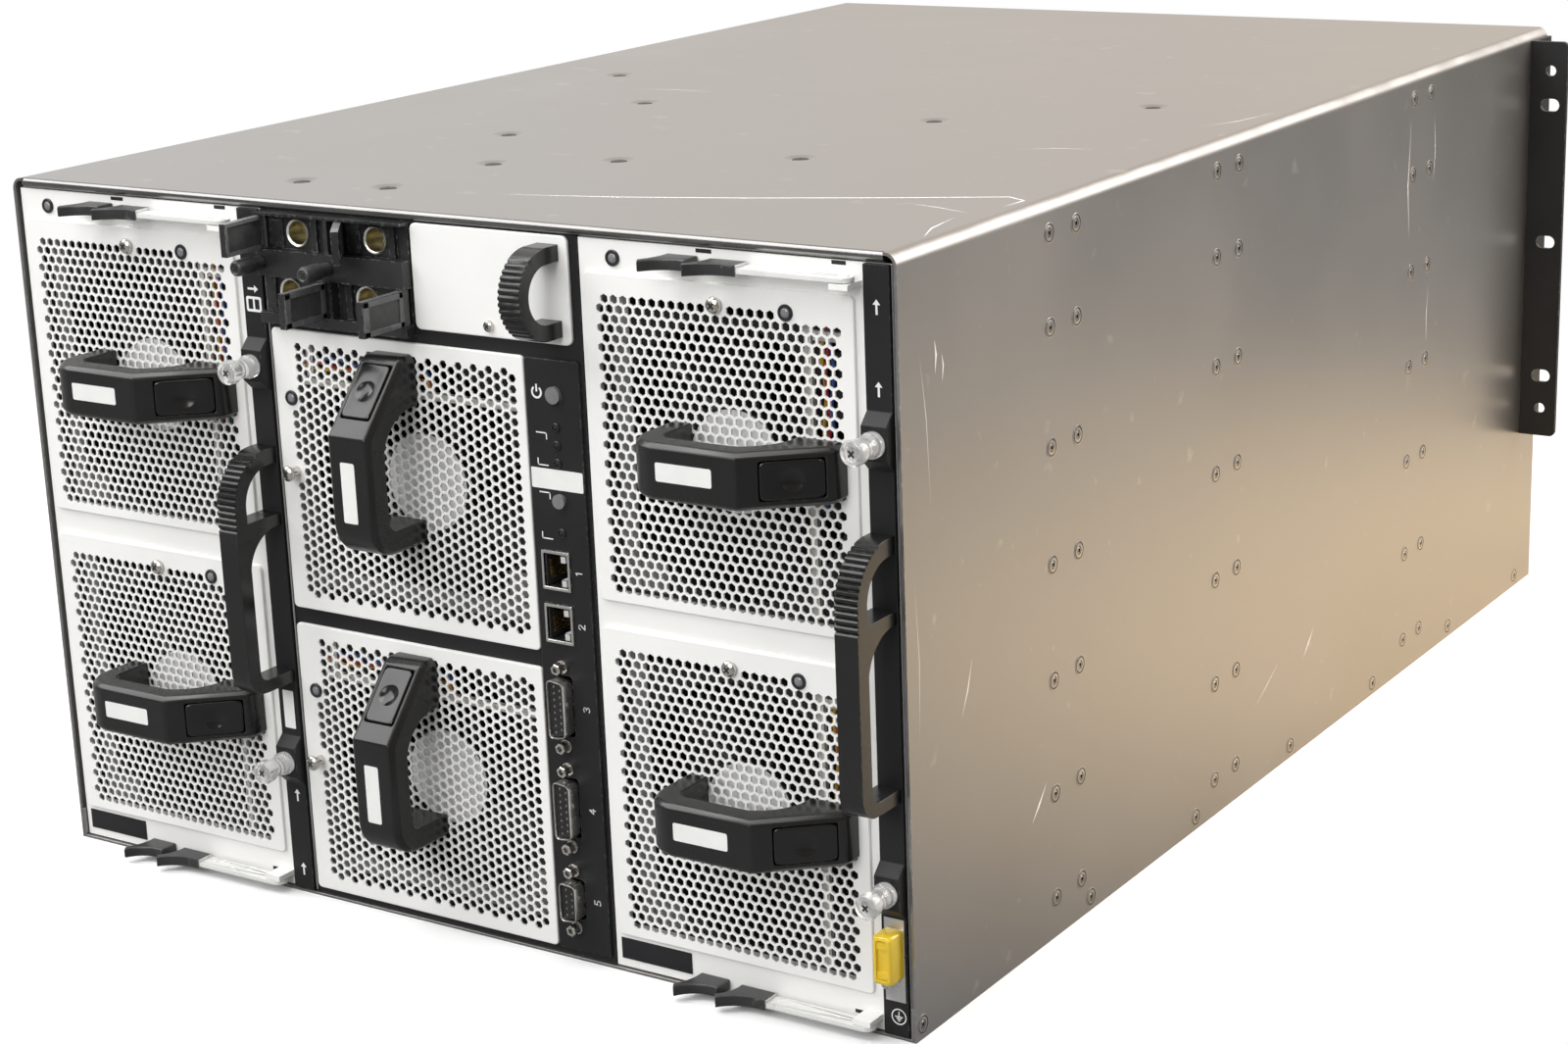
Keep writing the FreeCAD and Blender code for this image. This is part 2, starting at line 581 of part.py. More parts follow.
def make_fan_handle():
    """Bridge handle bent from a straight leg over a flat front to a slope that ends in a broad foot."""
    flat = lambda x, y: Vector(x, y, -HANDLE_HEIGHT / 2)
    left = HANDLE_OFFSET
    right = HANDLE_OFFSET + HANDLE_LENGTH
    start, end = handle_slope()[:2]
    inside = -HANDLE_REACH + HANDLE_BAR
    leg = left + HANDLE_LEG
    heel = right - HANDLE_FOOT
    crest = heel - HANDLE_SWEEP
    lean = math.cos(math.radians(45))
    steps = [
        flat(left, 0),
        flat(left, -HANDLE_REACH + HANDLE_CORNER),
        bend((left + HANDLE_CORNER, -HANDLE_REACH + HANDLE_CORNER), HANDLE_CORNER, 180, 270, flat),
        flat(start.x, start.y),
        flat(end.x, end.y),
        flat(right, end.y + 2 * HANDLE_END_INSET),
        flat(right, 0),
        flat(heel, 0),
        (flat(crest + HANDLE_SWEEP * lean, inside * lean), flat(crest, inside)),
        flat(leg + HANDLE_INNER_CORNER, inside),
        bend((leg + HANDLE_INNER_CORNER, inside + HANDLE_INNER_CORNER), HANDLE_INNER_CORNER, 270, 180, flat),
        flat(leg, 0),
    ]
    bar = outline(steps).extrude(Vector(0, 0, HANDLE_HEIGHT))
    rims = []
    for edge in bar.Edges:
        box = edge.BoundBox
        level = box.ZLength < 0.01 and abs(abs(box.ZMin) - HANDLE_HEIGHT / 2) < 0.01
        middle = edge.valueAt((edge.FirstParameter + edge.LastParameter) / 2)
        on_leg = middle.x < left + HANDLE_CORNER and (middle.x < left + 0.1 or middle.y < inside)
        on_front = middle.y < -HANDLE_REACH + 0.1
        on_end = middle.x > heel and middle.y < -0.1
        if level and (on_leg or on_front or on_end):
            rims.append(edge)
    bar = bar.makeChamfer(HANDLE_CHAMFER, rims)
    half_length = BUTTON_LENGTH / 2 + BUTTON_CLEARANCE
    half_width = BUTTON_WIDTH / 2 + BUTTON_CLEARANCE
    depth = BUTTON_THICKNESS - BUTTON_PROUD + BUTTON_TRAVEL + BUTTON_CLEARANCE
    pocket = on_slope(block(-half_length, half_length, -half_width, half_width, -depth, 5))
    return bar.cut(pocket)


def make_fan_button():
    """Release button with a scooped thumb rest."""
    blank = block(-BUTTON_LENGTH / 2, BUTTON_LENGTH / 2, -BUTTON_WIDTH / 2, BUTTON_WIDTH / 2,
                  BUTTON_PROUD - BUTTON_THICKNESS, BUTTON_PROUD)
    level = BUTTON_PROUD + SCOOP_RADIUS - SCOOP_DEPTH
    scoop = rod(SCOOP_RADIUS, Vector(0, -SCOOP_WIDTH / 2, level), Vector(0, SCOOP_WIDTH / 2, level))
    return on_slope(blank.cut(scoop))


def placed(shape, x, y, z, turn=UPRIGHT):
    """A copy of a shape carried to its place in the chassis."""
    copy = shape.copy()
    copy.Placement = Placement(Vector(x, y, z), turn).multiply(copy.Placement)
    return copy


def make_tray(left):
    """White face with two fan openings, main wall with lips and rails, lever ears, and the plain board."""
    right = left + MODULE_WIDTH
    end = FACE + TRAY_DEPTH
    centre = left + TRAY_MARGIN_LEFT + FAN_COVER_WIDTH / 2
    half_x = FAN_OPENING_WIDTH / 2
    half_z = FAN_OPENING_HEIGHT / 2
    windows = [(centre - half_x, centre + half_x, z - half_z, z + half_z) for z in (LOWER_FAN_Z, UPPER_FAN_Z)]
    face = windowed_sheet((left, right, FACE, FACE_BACK, MODULE_BOTTOM, MODULE_TOP), windows)
    screw_x = right - STRIP_WIDTH / 2
    hole = CAPTIVE_SHANK_RADIUS + SCREW_CLEARANCE
    face = face.cut([rod(hole, Vector(screw_x, FACE - 1, z), Vector(screw_x, FACE_BACK + 1, z))
                     for z in (CAPTIVE_SCREW_TOP, CAPTIVE_SCREW_BOTTOM)])
    wall = block(left, left + TRAY_SHEET, FACE, end, MODULE_BOTTOM, MODULE_TOP)
    lips = [block(left, left + TRAY_LIP, FACE, end, z, z + TRAY_SHEET)
            for z in (MODULE_BOTTOM, MODULE_TOP - TRAY_SHEET)]
    rail_start = FACE + FAN_SKIRT_DEPTH + BOARD_SETBACK
    middle = (MODULE_BOTTOM + MODULE_TOP) / 2
    spread = (MODULE_TOP - MODULE_BOTTOM) / 3
    rails = [block(left + TRAY_SHEET, left + TRAY_SHEET + TRAY_RAIL, rail_start, end,
                   z - TRAY_RAIL / 2, z + TRAY_RAIL / 2) for z in (middle - spread, middle + spread)]
    pieces = [wall] + lips + rails
    for level, rise in ((lever_level("top"), -1), (lever_level("bottom"), 1)):
        pieces += make_lever_ear(left, level, rise)
    tray = join(face, *pieces)
    seat = left + TRAY_SHEET + TRAY_RAIL
    board = block(seat, seat + BOARD_THICKNESS, rail_start, end,
                  MODULE_BOTTOM + TRAY_LIP, MODULE_TOP - TRAY_LIP)
    return tray, board


def lever_level(end):
    """Middle height of an ejector lever."""
    return MODULE_TOP - LEVER_TOP_INSET if end == "top" else MODULE_BOTTOM + LEVER_BOTTOM_INSET


def make_lever_ear(left, level, rise):
    """Ear on the tray's face beside a lever, with the pin that the lever turns on."""
    pivot = lever_pivot(left)
    near = level + rise * (LEVER_THICKNESS / 2 + HEAD_CLEARANCE)
    far = near + rise * LEVER_EAR
    tip = level - rise * (LEVER_THICKNESS / 2 + HEAD_CLEARANCE)
    ear = block(pivot.x - LEVER_WIDTH / 2, pivot.x + LEVER_WIDTH / 2, pivot.y - LEVER_WIDTH / 2, FACE,
                min(near, far), max(near, far))
    pin = rod(LEVER_PIN_RADIUS, Vector(pivot.x, pivot.y, far), Vector(pivot.x, pivot.y, tip))
    return [ear, pin]


def lever_pivot(left):
    """Where a lever's pin stands, seen from above."""
    return Vector(left + LEVER_PIVOT, FACE - LEVER_GAP - LEVER_WIDTH / 2, 0)


def grip_outline(tip, root, back, reach, z):
    """A finger grip seen from above, scooped along its front."""
    flat = lambda x, y: Vector(x, y, z)
    length = root - tip
    front = back - reach
    return outline([
        flat(root, back),
        flat(root, back - reach * 0.55),
        (flat(root - length * 0.45, back - reach * 0.58), flat(tip + 2, front)),
        flat(tip, front + 3),
        (flat(tip + length * 0.18, back - reach * 0.45), flat(tip + length * 0.22, back)),
    ])


def make_lever(left, level):
    """Ejector: a flat arm on the pin, its free end held in a moulded grip."""
    pivot = lever_pivot(left)
    half = LEVER_WIDTH / 2
    bottom = level - LEVER_THICKNESS / 2
    flat = lambda x, y: Vector(x, y, bottom)
    tip = pivot.x - LEVER_LENGTH
    root = tip + GRIP_LENGTH
    arm_end = root - GRIP_ENGAGE
    steps = [
        flat(pivot.x, pivot.y - half),
        bend((pivot.x, pivot.y), half, -90, 90, flat),
        flat(arm_end, pivot.y + half),
        flat(arm_end, pivot.y - half),
    ]
    arm = outline(steps).extrude(Vector(0, 0, LEVER_THICKNESS))
    arm = arm.cut(rod(LEVER_PIN_RADIUS + LEVER_PIN_CLEARANCE, Vector(pivot.x, pivot.y, bottom - 1),
                      Vector(pivot.x, pivot.y, bottom + LEVER_THICKNESS + 1)))
    base = grip_outline(tip, root, pivot.y + half, GRIP_REACH, level - GRIP_THICKNESS / 2)
    grip = base.extrude(Vector(0, 0, GRIP_THICKNESS)).cut(arm)
    return arm, grip


def make_finger_tabs(left):
    """Two fixed tabs on the tray's face, one beside each grip."""
    root = lever_pivot(left).x - LEVER_LENGTH - TAB_GAP
    reach = GRIP_REACH + LEVER_GAP
    tabs = []
    for level in (lever_level("top"), lever_level("bottom")):
        base = grip_outline(root - TAB_LENGTH, root, FACE, reach, level - GRIP_THICKNESS / 2)
        tabs.append(base.extrude(Vector(0, 0, GRIP_THICKNESS)))
    return tabs


def make_bracket(left):
    """Black strip down the right of the face, with a raised boss at each captive screw."""
    right = left + MODULE_WIDTH
    start = right - STRIP_WIDTH
    front = FACE - STRIP_THICKNESS
    strip = block(start, right, front, FACE, MODULE_BOTTOM, MODULE_TOP)
    bosses = []
    holes = []
    for z in (CAPTIVE_SCREW_TOP, CAPTIVE_SCREW_BOTTOM):
        flat = lambda y, up: Vector(start, y, z + up)
        half = STRIP_BOSS_LENGTH / 2
        raised = front - STRIP_BOSS_RISE
        slope = outline([flat(front, -half), flat(raised, -half + STRIP_BOSS_RISE),
                         flat(raised, half - STRIP_BOSS_RISE), flat(front, half)])
        bosses.append(slope.extrude(Vector(STRIP_WIDTH, 0, 0)))
        x = right - STRIP_WIDTH / 2
        hole = CAPTIVE_SHANK_RADIUS + SCREW_CLEARANCE
        holes.append(rod(hole, Vector(x, raised - 1, z), Vector(x, FACE + 1, z)))
    return join(strip, *bosses).cut(holes)


def make_captive_screw(left, z):
    """Thumbscrew: a barrel head with a chamfered end, on a shank through the boss and the face."""
    seat = FACE - STRIP_THICKNESS - STRIP_BOSS_RISE
    x = left + MODULE_WIDTH - STRIP_WIDTH / 2
    return make_thumbscrew(x, z, seat, CAPTIVE_HEAD_RADIUS, CAPTIVE_HEAD_LENGTH,
                           CAPTIVE_SHANK_RADIUS, CAPTIVE_SHANK_LENGTH)


def make_thumbscrew(x, z, seat, head_radius, head_length, shank_radius, shank_length):
    """A turned screw along Y whose head stands just off its seat."""
    under = seat - HEAD_CLEARANCE
    flat = lambda r, y: Vector(r, y, 0)
    chamfer = head_radius / 5
    steps = [
        flat(0, under - head_length),
        flat(head_radius - chamfer, under - head_length),
        flat(head_radius, under - head_length + chamfer),
        flat(head_radius, under),
        flat(shank_radius, under),
        flat(shank_radius, under + shank_length),
        flat(0, under + shank_length),
    ]
    screw = outline(steps).revolve(Vector(0, 0, 0), Vector(0, 1, 0), 360)
    return placed(screw, x, 0, z)


def ridge_cutters(path, width, x):
    """Grooves across a handle's front, at points with outward angles in the YZ plane."""
    cutters = []
    half = RIDGE_GROOVE / 2
    for y, z, angle in path:
        groove = block(x - 1, x + width + 1, -half, half, -half, half)
        groove.rotate(Vector(0, 0, 0), Vector(1, 0, 0), 45 + angle)
        groove.translate(Vector(0, y, z))
        cutters.append(groove)
    return cutters


def make_pull_handle(left):
    """Tall handle on three feet, ridged over its rounded top."""
    x = left + MODULE_WIDTH - (STRIP_WIDTH + PULL_WIDTH) / 2
    seat = FACE - STRIP_THICKNESS
    flat = lambda y, z: Vector(x, seat + y, PULL_BOTTOM + z)
    front = -PULL_REACH
    inside = front + PULL_BAR
    top_inner = PULL_TOP_RADIUS - PULL_BAR
    low_inner = PULL_BOTTOM_RADIUS - PULL_FOOT
    low_back = inside + low_inner
    crown = PULL_HEIGHT - PULL_TOP_RADIUS
    crown_y = front + PULL_TOP_RADIUS
    steps = [
        flat(0, 0),
        flat(front + PULL_BOTTOM_RADIUS, 0),
        bend((front + PULL_BOTTOM_RADIUS, PULL_BOTTOM_RADIUS), PULL_BOTTOM_RADIUS, 270, 180, flat),
        flat(front, crown),
        bend((crown_y, crown), PULL_TOP_RADIUS, 180, 90, flat),
        flat(0, PULL_HEIGHT),
        flat(0, PULL_HEIGHT - PULL_BAR),
        flat(crown_y, PULL_HEIGHT - PULL_BAR),
        bend((crown_y, crown), top_inner, 90, 180, flat),
        flat(inside, PULL_MIDDLE_FOOT),
        flat(0, PULL_MIDDLE_FOOT),
        flat(0, PULL_MIDDLE_FOOT - PULL_FOOT),
        (flat(inside * 0.72, PULL_MIDDLE_FOOT - PULL_FOOT - PULL_FLARE * 0.3),
         flat(inside, PULL_MIDDLE_FOOT - PULL_FOOT - PULL_FLARE)),
        flat(inside, PULL_FOOT + low_inner),
        bend((low_back, PULL_FOOT + low_inner), low_inner, 180, 270, flat),
        flat(0, PULL_FOOT),
    ]
    bar = outline(steps).extrude(Vector(PULL_WIDTH, 0, 0))
    path = []
    for i in range(RIDGE_COUNT):
        run = i * RIDGE_PITCH
        angle = run / PULL_TOP_RADIUS
        if angle < math.radians(70):
            turn = math.radians(110) + angle
            path.append((seat + crown_y + PULL_TOP_RADIUS * math.cos(turn),
                         PULL_BOTTOM + crown + PULL_TOP_RADIUS * math.sin(turn), math.degrees(turn)))
        else:
            drop = run - PULL_TOP_RADIUS * math.radians(70)
            path.append((seat + front, PULL_BOTTOM + crown - drop, 0))
    return bar.cut(ridge_cutters(path, PULL_WIDTH, x))


def make_terminal_block():
    """Moulded inlet: body, flange, raised walls round four cells, socket bores and hinge holes."""
    left = TERMINAL_LEFT
    right = left + TERMINAL_WIDTH
    front = FACE - TERMINAL_FLANGE
    raised = front - TERMINAL_RISE
    inset = FACE_OVERLAP + BAY_CLEARANCE
    body = block(left + inset, right - inset, FACE, TERMINAL_BACK,
                 TERMINAL_BOTTOM + inset, MODULE_TOP - inset)
    flange = block(left, right, front, FACE, TERMINAL_BOTTOM, MODULE_TOP)
    mid = TERMINAL_BOTTOM + TERMINAL_MID_BOTTOM
    walls = [
        block(left, right, raised, front, MODULE_TOP - TERMINAL_TOP_WALL, MODULE_TOP),
        block(left, right, raised, front, mid, mid + TERMINAL_MID_BAR),
        block(left, right, raised, front, TERMINAL_BOTTOM, TERMINAL_BOTTOM + TERMINAL_BOTTOM_WALL),
    ]
    divider = left + TERMINAL_CELL_PITCH - 2 * TERMINAL_RIB
    walls.append(block(divider, divider + TERMINAL_RIB, raised, front, TERMINAL_BOTTOM, MODULE_TOP))
    for hinge in flap_hinges().values():
        closed = hinge["x"] + hinge["hand"] * (hinge["length"] + TERMINAL_CATCH_GAP)
        far = closed + hinge["hand"] * TERMINAL_CATCH
        walls.append(block(min(closed, far), max(closed, far), front - TERMINAL_CATCH_RISE, front,
                           hinge["bottom"] - FLAP_CLEARANCE, hinge["top"] + FLAP_CLEARANCE))
    moulding = join(body, flange, *walls)
    cuts = [rod(SOCKET_RADIUS + SOCKET_CLEARANCE, Vector(x, raised, z), Vector(x, TERMINAL_BACK + 1, z))
            for x, z in socket_places()]
    for hinge in flap_hinges().values():
        low = hinge["bottom"] - FLAP_CLEARANCE - FLAP_PIN_LENGTH
        high = hinge["top"] + FLAP_CLEARANCE + FLAP_PIN_LENGTH
        cuts.append(rod(FLAP_PIN_RADIUS + SCREW_CLEARANCE, Vector(hinge["x"], flap_axis_y(), low),
                        Vector(hinge["x"], flap_axis_y(), high)))
    for x in terminal_screw_places():
        z = mid + TERMINAL_MID_BAR / 2
        cuts.append(rod(TERMINAL_SCREW_SHANK + SCREW_CLEARANCE, Vector(x, raised - 1, z),
                        Vector(x, FACE, z)))
    return moulding.cut(cuts)


def socket_places():
    """Centres of the four sockets."""
    places = []
    for cell in (0, TERMINAL_CELL_PITCH):
        places.append((TERMINAL_LEFT + cell + SOCKET_TOP_X, TERMINAL_BOTTOM + SOCKET_TOP_Z))
        places.append((TERMINAL_LEFT + cell + SOCKET_BOTTOM_X, TERMINAL_BOTTOM + SOCKET_BOTTOM_Z))
    return places


def make_terminal_sockets():
    """Four turned sockets, each bored from the front and solid through the moulding's back."""
    front = FACE - TERMINAL_FLANGE - SOCKET_PROUD
    sockets = []
    for x, z in socket_places():
        pin = rod(SOCKET_RADIUS, Vector(x, front, z), Vector(x, TERMINAL_BACK + SOCKET_TAIL, z))
        bore = rod(SOCKET_RADIUS - SOCKET_WALL, Vector(x, front - 1, z), Vector(x, front + SOCKET_BORE, z))
        sockets.append(pin.cut(bore))
    return sockets


def flap_axis_y():
    """The flaps' hinge line, in the middle of the raised walls."""
    return FACE - TERMINAL_FLANGE - TERMINAL_RISE / 2


def flap_hinges():
    """Place, height, hand, length and opening angle of each flap."""
    mid = TERMINAL_BOTTOM + TERMINAL_MID_BOTTOM
    upper = {"bottom": mid + TERMINAL_MID_BAR + FLAP_CLEARANCE, "hand": 1, "length": FLAP_TOP_LENGTH,
             "top": MODULE_TOP - TERMINAL_TOP_WALL - FLAP_CLEARANCE}
    lower = {"bottom": TERMINAL_BOTTOM + TERMINAL_BOTTOM_WALL + FLAP_CLEARANCE, "hand": -1,
             "length": FLAP_BOTTOM_LENGTH, "top": mid - FLAP_CLEARANCE}
    hinges = {}
    for name, cell, angle in (("a", 0, FLAP_OPEN_A_TOP), ("b", TERMINAL_CELL_PITCH, FLAP_OPEN_B_TOP)):
        base = TERMINAL_LEFT + cell
        hinges["flap_" + name + "_top"] = {**upper, "x": base + FLAP_HINGE_TOP_X, "open": -angle}
        hinges["flap_" + name + "_bottom"] = {**lower, "x": base + FLAP_HINGE_BOTTOM_X,
                                              "open": FLAP_OPEN_BOTTOM}
    return hinges


def make_flap(hinge):
    """Hinged cover: a rimmed plate with a knuckle and two pins, turned to its open place."""
    bottom = hinge["bottom"]
    top = hinge["top"]
    hand = hinge["hand"]
    span = lambda a, b: (min(hand * a, hand * b), max(hand * a, hand * b))
    length = hinge["length"]
    plate_x = span(0, length)
    plate = block(*plate_x, -FLAP_KNUCKLE_RADIUS, -FLAP_KNUCKLE_RADIUS + FLAP_SHEET, bottom, top)
    inner = -FLAP_KNUCKLE_RADIUS + FLAP_SHEET
    rim_x = span(FLAP_KNUCKLE_RADIUS + FLAP_RIM_WALL, length)
    rims = [block(*rim_x, inner, inner + FLAP_RIM, bottom, bottom + FLAP_RIM_WALL),
            block(*rim_x, inner, inner + FLAP_RIM, top - FLAP_RIM_WALL, top),
            block(*span(length - FLAP_RIM_WALL, length), inner, inner + FLAP_RIM, bottom, top)]
    knuckle = rod(FLAP_KNUCKLE_RADIUS, Vector(0, 0, bottom), Vector(0, 0, top))
    reach = FLAP_CLEARANCE + FLAP_PIN_LENGTH - SCREW_CLEARANCE
    pin = rod(FLAP_PIN_RADIUS, Vector(0, 0, bottom - reach), Vector(0, 0, top + reach))
    flap = join(plate, knuckle, pin, *rims)
    flap.rotate(Vector(0, 0, 0), Vector(0, 0, 1), hinge["open"])
    flap.translate(Vector(hinge["x"], flap_axis_y(), 0))
    return flap


def terminal_screw_places():
    """Where the inlet's two thumbscrews stand along its middle bar."""
    return (TERMINAL_LEFT + TERMINAL_SCREW_X, TERMINAL_LEFT + TERMINAL_CELL_PITCH - 1.5 * TERMINAL_RIB)


def make_terminal_screw(x):
    """Slim black thumbscrew that holds the inlet."""
    z = TERMINAL_BOTTOM + TERMINAL_MID_BOTTOM + TERMINAL_MID_BAR / 2
    seat = FACE - TERMINAL_FLANGE - TERMINAL_RISE
    return make_thumbscrew(x, z, seat, TERMINAL_SCREW_RADIUS, TERMINAL_SCREW_REACH,
                           TERMINAL_SCREW_SHANK, TERMINAL_FLANGE + TERMINAL_RISE)


def make_filler_panel():
    """White blank module: a flanged face with a skirt, and a ridged C handle."""
    right = FILLER_LEFT + FILLER_WIDTH
    middle_x = FILLER_LEFT + FILLER_WIDTH / 2
    middle_z = FILLER_BOTTOM + FILLER_HEIGHT / 2
    face = block(FILLER_LEFT, right, REAR, FACE, FILLER_BOTTOM, MODULE_TOP)
    inset = FACE_OVERLAP + BAY_CLEARANCE
    walls = skirt(FILLER_WIDTH / 2 - inset, FILLER_HEIGHT / 2 - inset, FAN_SKIRT_SHEET, 0, FILLER_SKIRT_DEPTH)
    panel = join(face, placed(walls, middle_x, FACE, middle_z))
    x = right - C_HANDLE_INSET - C_HANDLE_WIDTH
    radius = C_HANDLE_HEIGHT / 2
    inner = radius - C_HANDLE_BAR
    straight = radius - C_HANDLE_REACH
    flat = lambda y, z: Vector(x, REAR + y, middle_z + z)
    handle = outline([
        flat(0, radius),
        flat(straight, radius),
        (flat(straight - radius, 0), flat(straight, -radius)),
        flat(0, -radius),
        flat(0, -inner),
        flat(straight, -inner),
        (flat(straight - inner, 0), flat(straight, inner)),
        flat(0, inner),
    ]).extrude(Vector(C_HANDLE_WIDTH, 0, 0))
    path = []
    for i in range(C_HANDLE_RIDGES):
        angle = (i - (C_HANDLE_RIDGES - 1) / 2) * RIDGE_PITCH / radius
        turn = math.pi + angle
        path.append((REAR + straight + radius * math.cos(turn), middle_z + radius * math.sin(turn),
                     math.degrees(turn)))
    return panel, handle.cut(ridge_cutters(path, C_HANDLE_WIDTH, x))


def dsub_shell(centre_z, length, inset, y0, y1):
    """D-shaped prism, narrower on its right edge."""
    x = CONTROL_LEFT + CONTROL_CONNECTOR_X
    half_w = DSUB_SHELL_WIDTH / 2 - inset
    half_l = length / 2 - inset
    flat = lambda a, b: Vector(x + a, y0, centre_z + b)
    return outline([flat(-half_w, -half_l), flat(-half_w, half_l), flat(half_w, half_l - DSUB_TAPER),
                    flat(half_w, -half_l + DSUB_TAPER)]).extrude(Vector(0, y1 - y0, 0))


def make_control_panel():
    """Black strip with its cut-outs for buttons and connectors."""
    strip = block(CONTROL_LEFT, CONTROL_LEFT + CONTROL_WIDTH, REAR, FACE, CENTRE_FAN_BOTTOM, CENTRE_FAN_TOP)
    x = CONTROL_LEFT + CONTROL_CENTRE
    cuts = []
    for z, radius in ((POWER_BUTTON_Z, POWER_BUTTON_RADIUS), (ALARM_BUTTON_Z, ALARM_BUTTON_RADIUS)):
        cuts.append(rod(radius + PANEL_BUTTON_CLEARANCE, Vector(x, REAR - 1, z), Vector(x, FACE + 1, z)))
    half_w = JACK_WIDTH / 2 + CONNECTOR_CLEARANCE
    half_h = JACK_HEIGHT / 2 + CONNECTOR_CLEARANCE
    x = CONTROL_LEFT + CONTROL_CONNECTOR_X
    for z in JACK_Z:
        cuts.append(block(x - half_w, x + half_w, REAR - 1, FACE + 1, z - half_h, z + half_h))
    for z, length in DSUB_Z_AND_LENGTH:
        cuts.append(dsub_shell(z, length, -CONNECTOR_CLEARANCE, REAR - 1, FACE + 1))
    return strip.cut(cuts)


def make_panel_connectors():
    """Two network jacks and three D connectors, each a solid of its own."""
    x = CONTROL_LEFT + CONTROL_CONNECTOR_X
    connectors = []
    for z in JACK_Z:
        front = REAR - JACK_PROUD
        shell = block(x - JACK_WIDTH / 2, x + JACK_WIDTH / 2, front, front + JACK_DEPTH,
                      z - JACK_HEIGHT / 2, z + JACK_HEIGHT / 2)
        half_w = JACK_WIDTH / 2 - JACK_WALL
        half_h = JACK_HEIGHT / 2 - JACK_WALL
        cavity = block(x - half_w, x + half_w, front - 1, front + JACK_CAVITY_DEPTH, z - half_h, z + half_h)
        connectors.append(shell.cut(cavity))
    for z, length in DSUB_Z_AND_LENGTH:
        half = length / 2 + DSUB_FLANGE_MARGIN
        flange = block(x - DSUB_FLANGE_WIDTH / 2, x + DSUB_FLANGE_WIDTH / 2, REAR - DSUB_FLANGE_SHEET, REAR,
                       z - half, z + half)
        shell = dsub_shell(z, length, 0, REAR - DSUB_FLANGE_SHEET - DSUB_SHELL_PROUD, FACE + DSUB_BODY_DEPTH)
        hollow = dsub_shell(z, length, DSUB_SHELL_WALL, REAR - DSUB_FLANGE_SHEET - DSUB_SHELL_PROUD - 1,
                            REAR - DSUB_FLANGE_SHEET - DSUB_SHELL_PROUD / 4)
        connectors.append(join(flange, shell).cut(hollow))
    return connectors


def make_panel_button(z, radius):
    """Round push button held behind the panel by its flange."""
    x = CONTROL_LEFT + CONTROL_CENTRE
    stem = rod(radius, Vector(x, REAR - PANEL_BUTTON_PROUD, z), Vector(x, FACE + PANEL_BUTTON_LENGTH, z))
    start = FACE + PANEL_BUTTON_CLEARANCE
    flange = rod(radius + PANEL_BUTTON_FLANGE, Vector(x, start, z), Vector(x, start + PANEL_BUTTON_FLANGE, z))
    return join(stem, flange)


def make_ground_cap():
    """Thin cap, open at the back, over the earth studs on the right module's strip."""
    x = MODULE_LEFTS["right"] + MODULE_WIDTH - (STRIP_WIDTH + CAP_WIDTH) / 2
    seat = FACE - STRIP_THICKNESS
    cap = block(x, x + CAP_WIDTH, seat - CAP_DEPTH, seat, CAP_BOTTOM, CAP_BOTTOM + CAP_HEIGHT)
    corners = [edge for edge in cap.Edges if abs(edge.CenterOfMass.y - seat + CAP_DEPTH) < 0.01]
    cap = cap.makeFillet(CAP_WALL, corners)
    return cap.cut(block(x + CAP_WALL, x + CAP_WIDTH - CAP_WALL, seat - CAP_DEPTH + CAP_WALL, seat + 1,
                         CAP_BOTTOM + CAP_WALL, CAP_BOTTOM + CAP_HEIGHT - CAP_WALL))


os.makedirs("parts", exist_ok=True)

save("outer_wrap", make_outer_wrap())
save("bottom_pan", make_bottom_pan())
save("bay_frame", make_bay_frame())
save("midplane", make_midplane())
save("front_panels", *make_front_panels())
save("rack_ears", make_rack_ear(-1), make_rack_ear(1))

fan_pieces = {
    "carrier": (make_fan_cover(), make_fan_frame()),
    "rotor": (make_rotor(),),
    "handle": (make_fan_handle(),),
    "button": (make_fan_button(),),
}
for fan, (fan_x, fan_z, fan_turn) in FAN_PLACES.items():
    for piece, solids in fan_pieces.items():
        save(fan + "_" + piece, *[placed(solid, fan_x, REAR, fan_z, fan_turn) for solid in solids])

for side, module_left in MODULE_LEFTS.items():
    save(side + "_tray", *make_tray(module_left))
    save(side + "_bracket", make_bracket(module_left))
    save(side + "_pull_handle", make_pull_handle(module_left))
    save(side + "_finger_tabs", *make_finger_tabs(module_left))
    save(side + "_top_lever", *make_lever(module_left, lever_level("top")))
    save(side + "_bottom_lever", *make_lever(module_left, lever_level("bottom")))
    save(side + "_top_screw", make_captive_screw(module_left, CAPTIVE_SCREW_TOP))
    save(side + "_bottom_screw", make_captive_screw(module_left, CAPTIVE_SCREW_BOTTOM))

save("terminal_block", make_terminal_block())
save("terminal_sockets", *make_terminal_sockets())
for flap_name, flap_hinge in flap_hinges().items():
    save(flap_name, make_flap(flap_hinge))
for letter, screw_x in zip("ab", terminal_screw_places()):
    save("terminal_screw_" + letter, make_terminal_screw(screw_x))

save("filler_panel", *make_filler_panel())
save("control_panel", make_control_panel())
save("panel_connectors", *make_panel_connectors())
save("power_button", make_panel_button(POWER_BUTTON_Z, POWER_BUTTON_RADIUS))
save("alarm_button", make_panel_button(ALARM_BUTTON_Z, ALARM_BUTTON_RADIUS))
save("ground_cap", make_ground_cap())
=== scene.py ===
import math
import bmesh
import bpy
from mathutils import Matrix, Vector
from mathutils.geometry import delaunay_2d_cdt


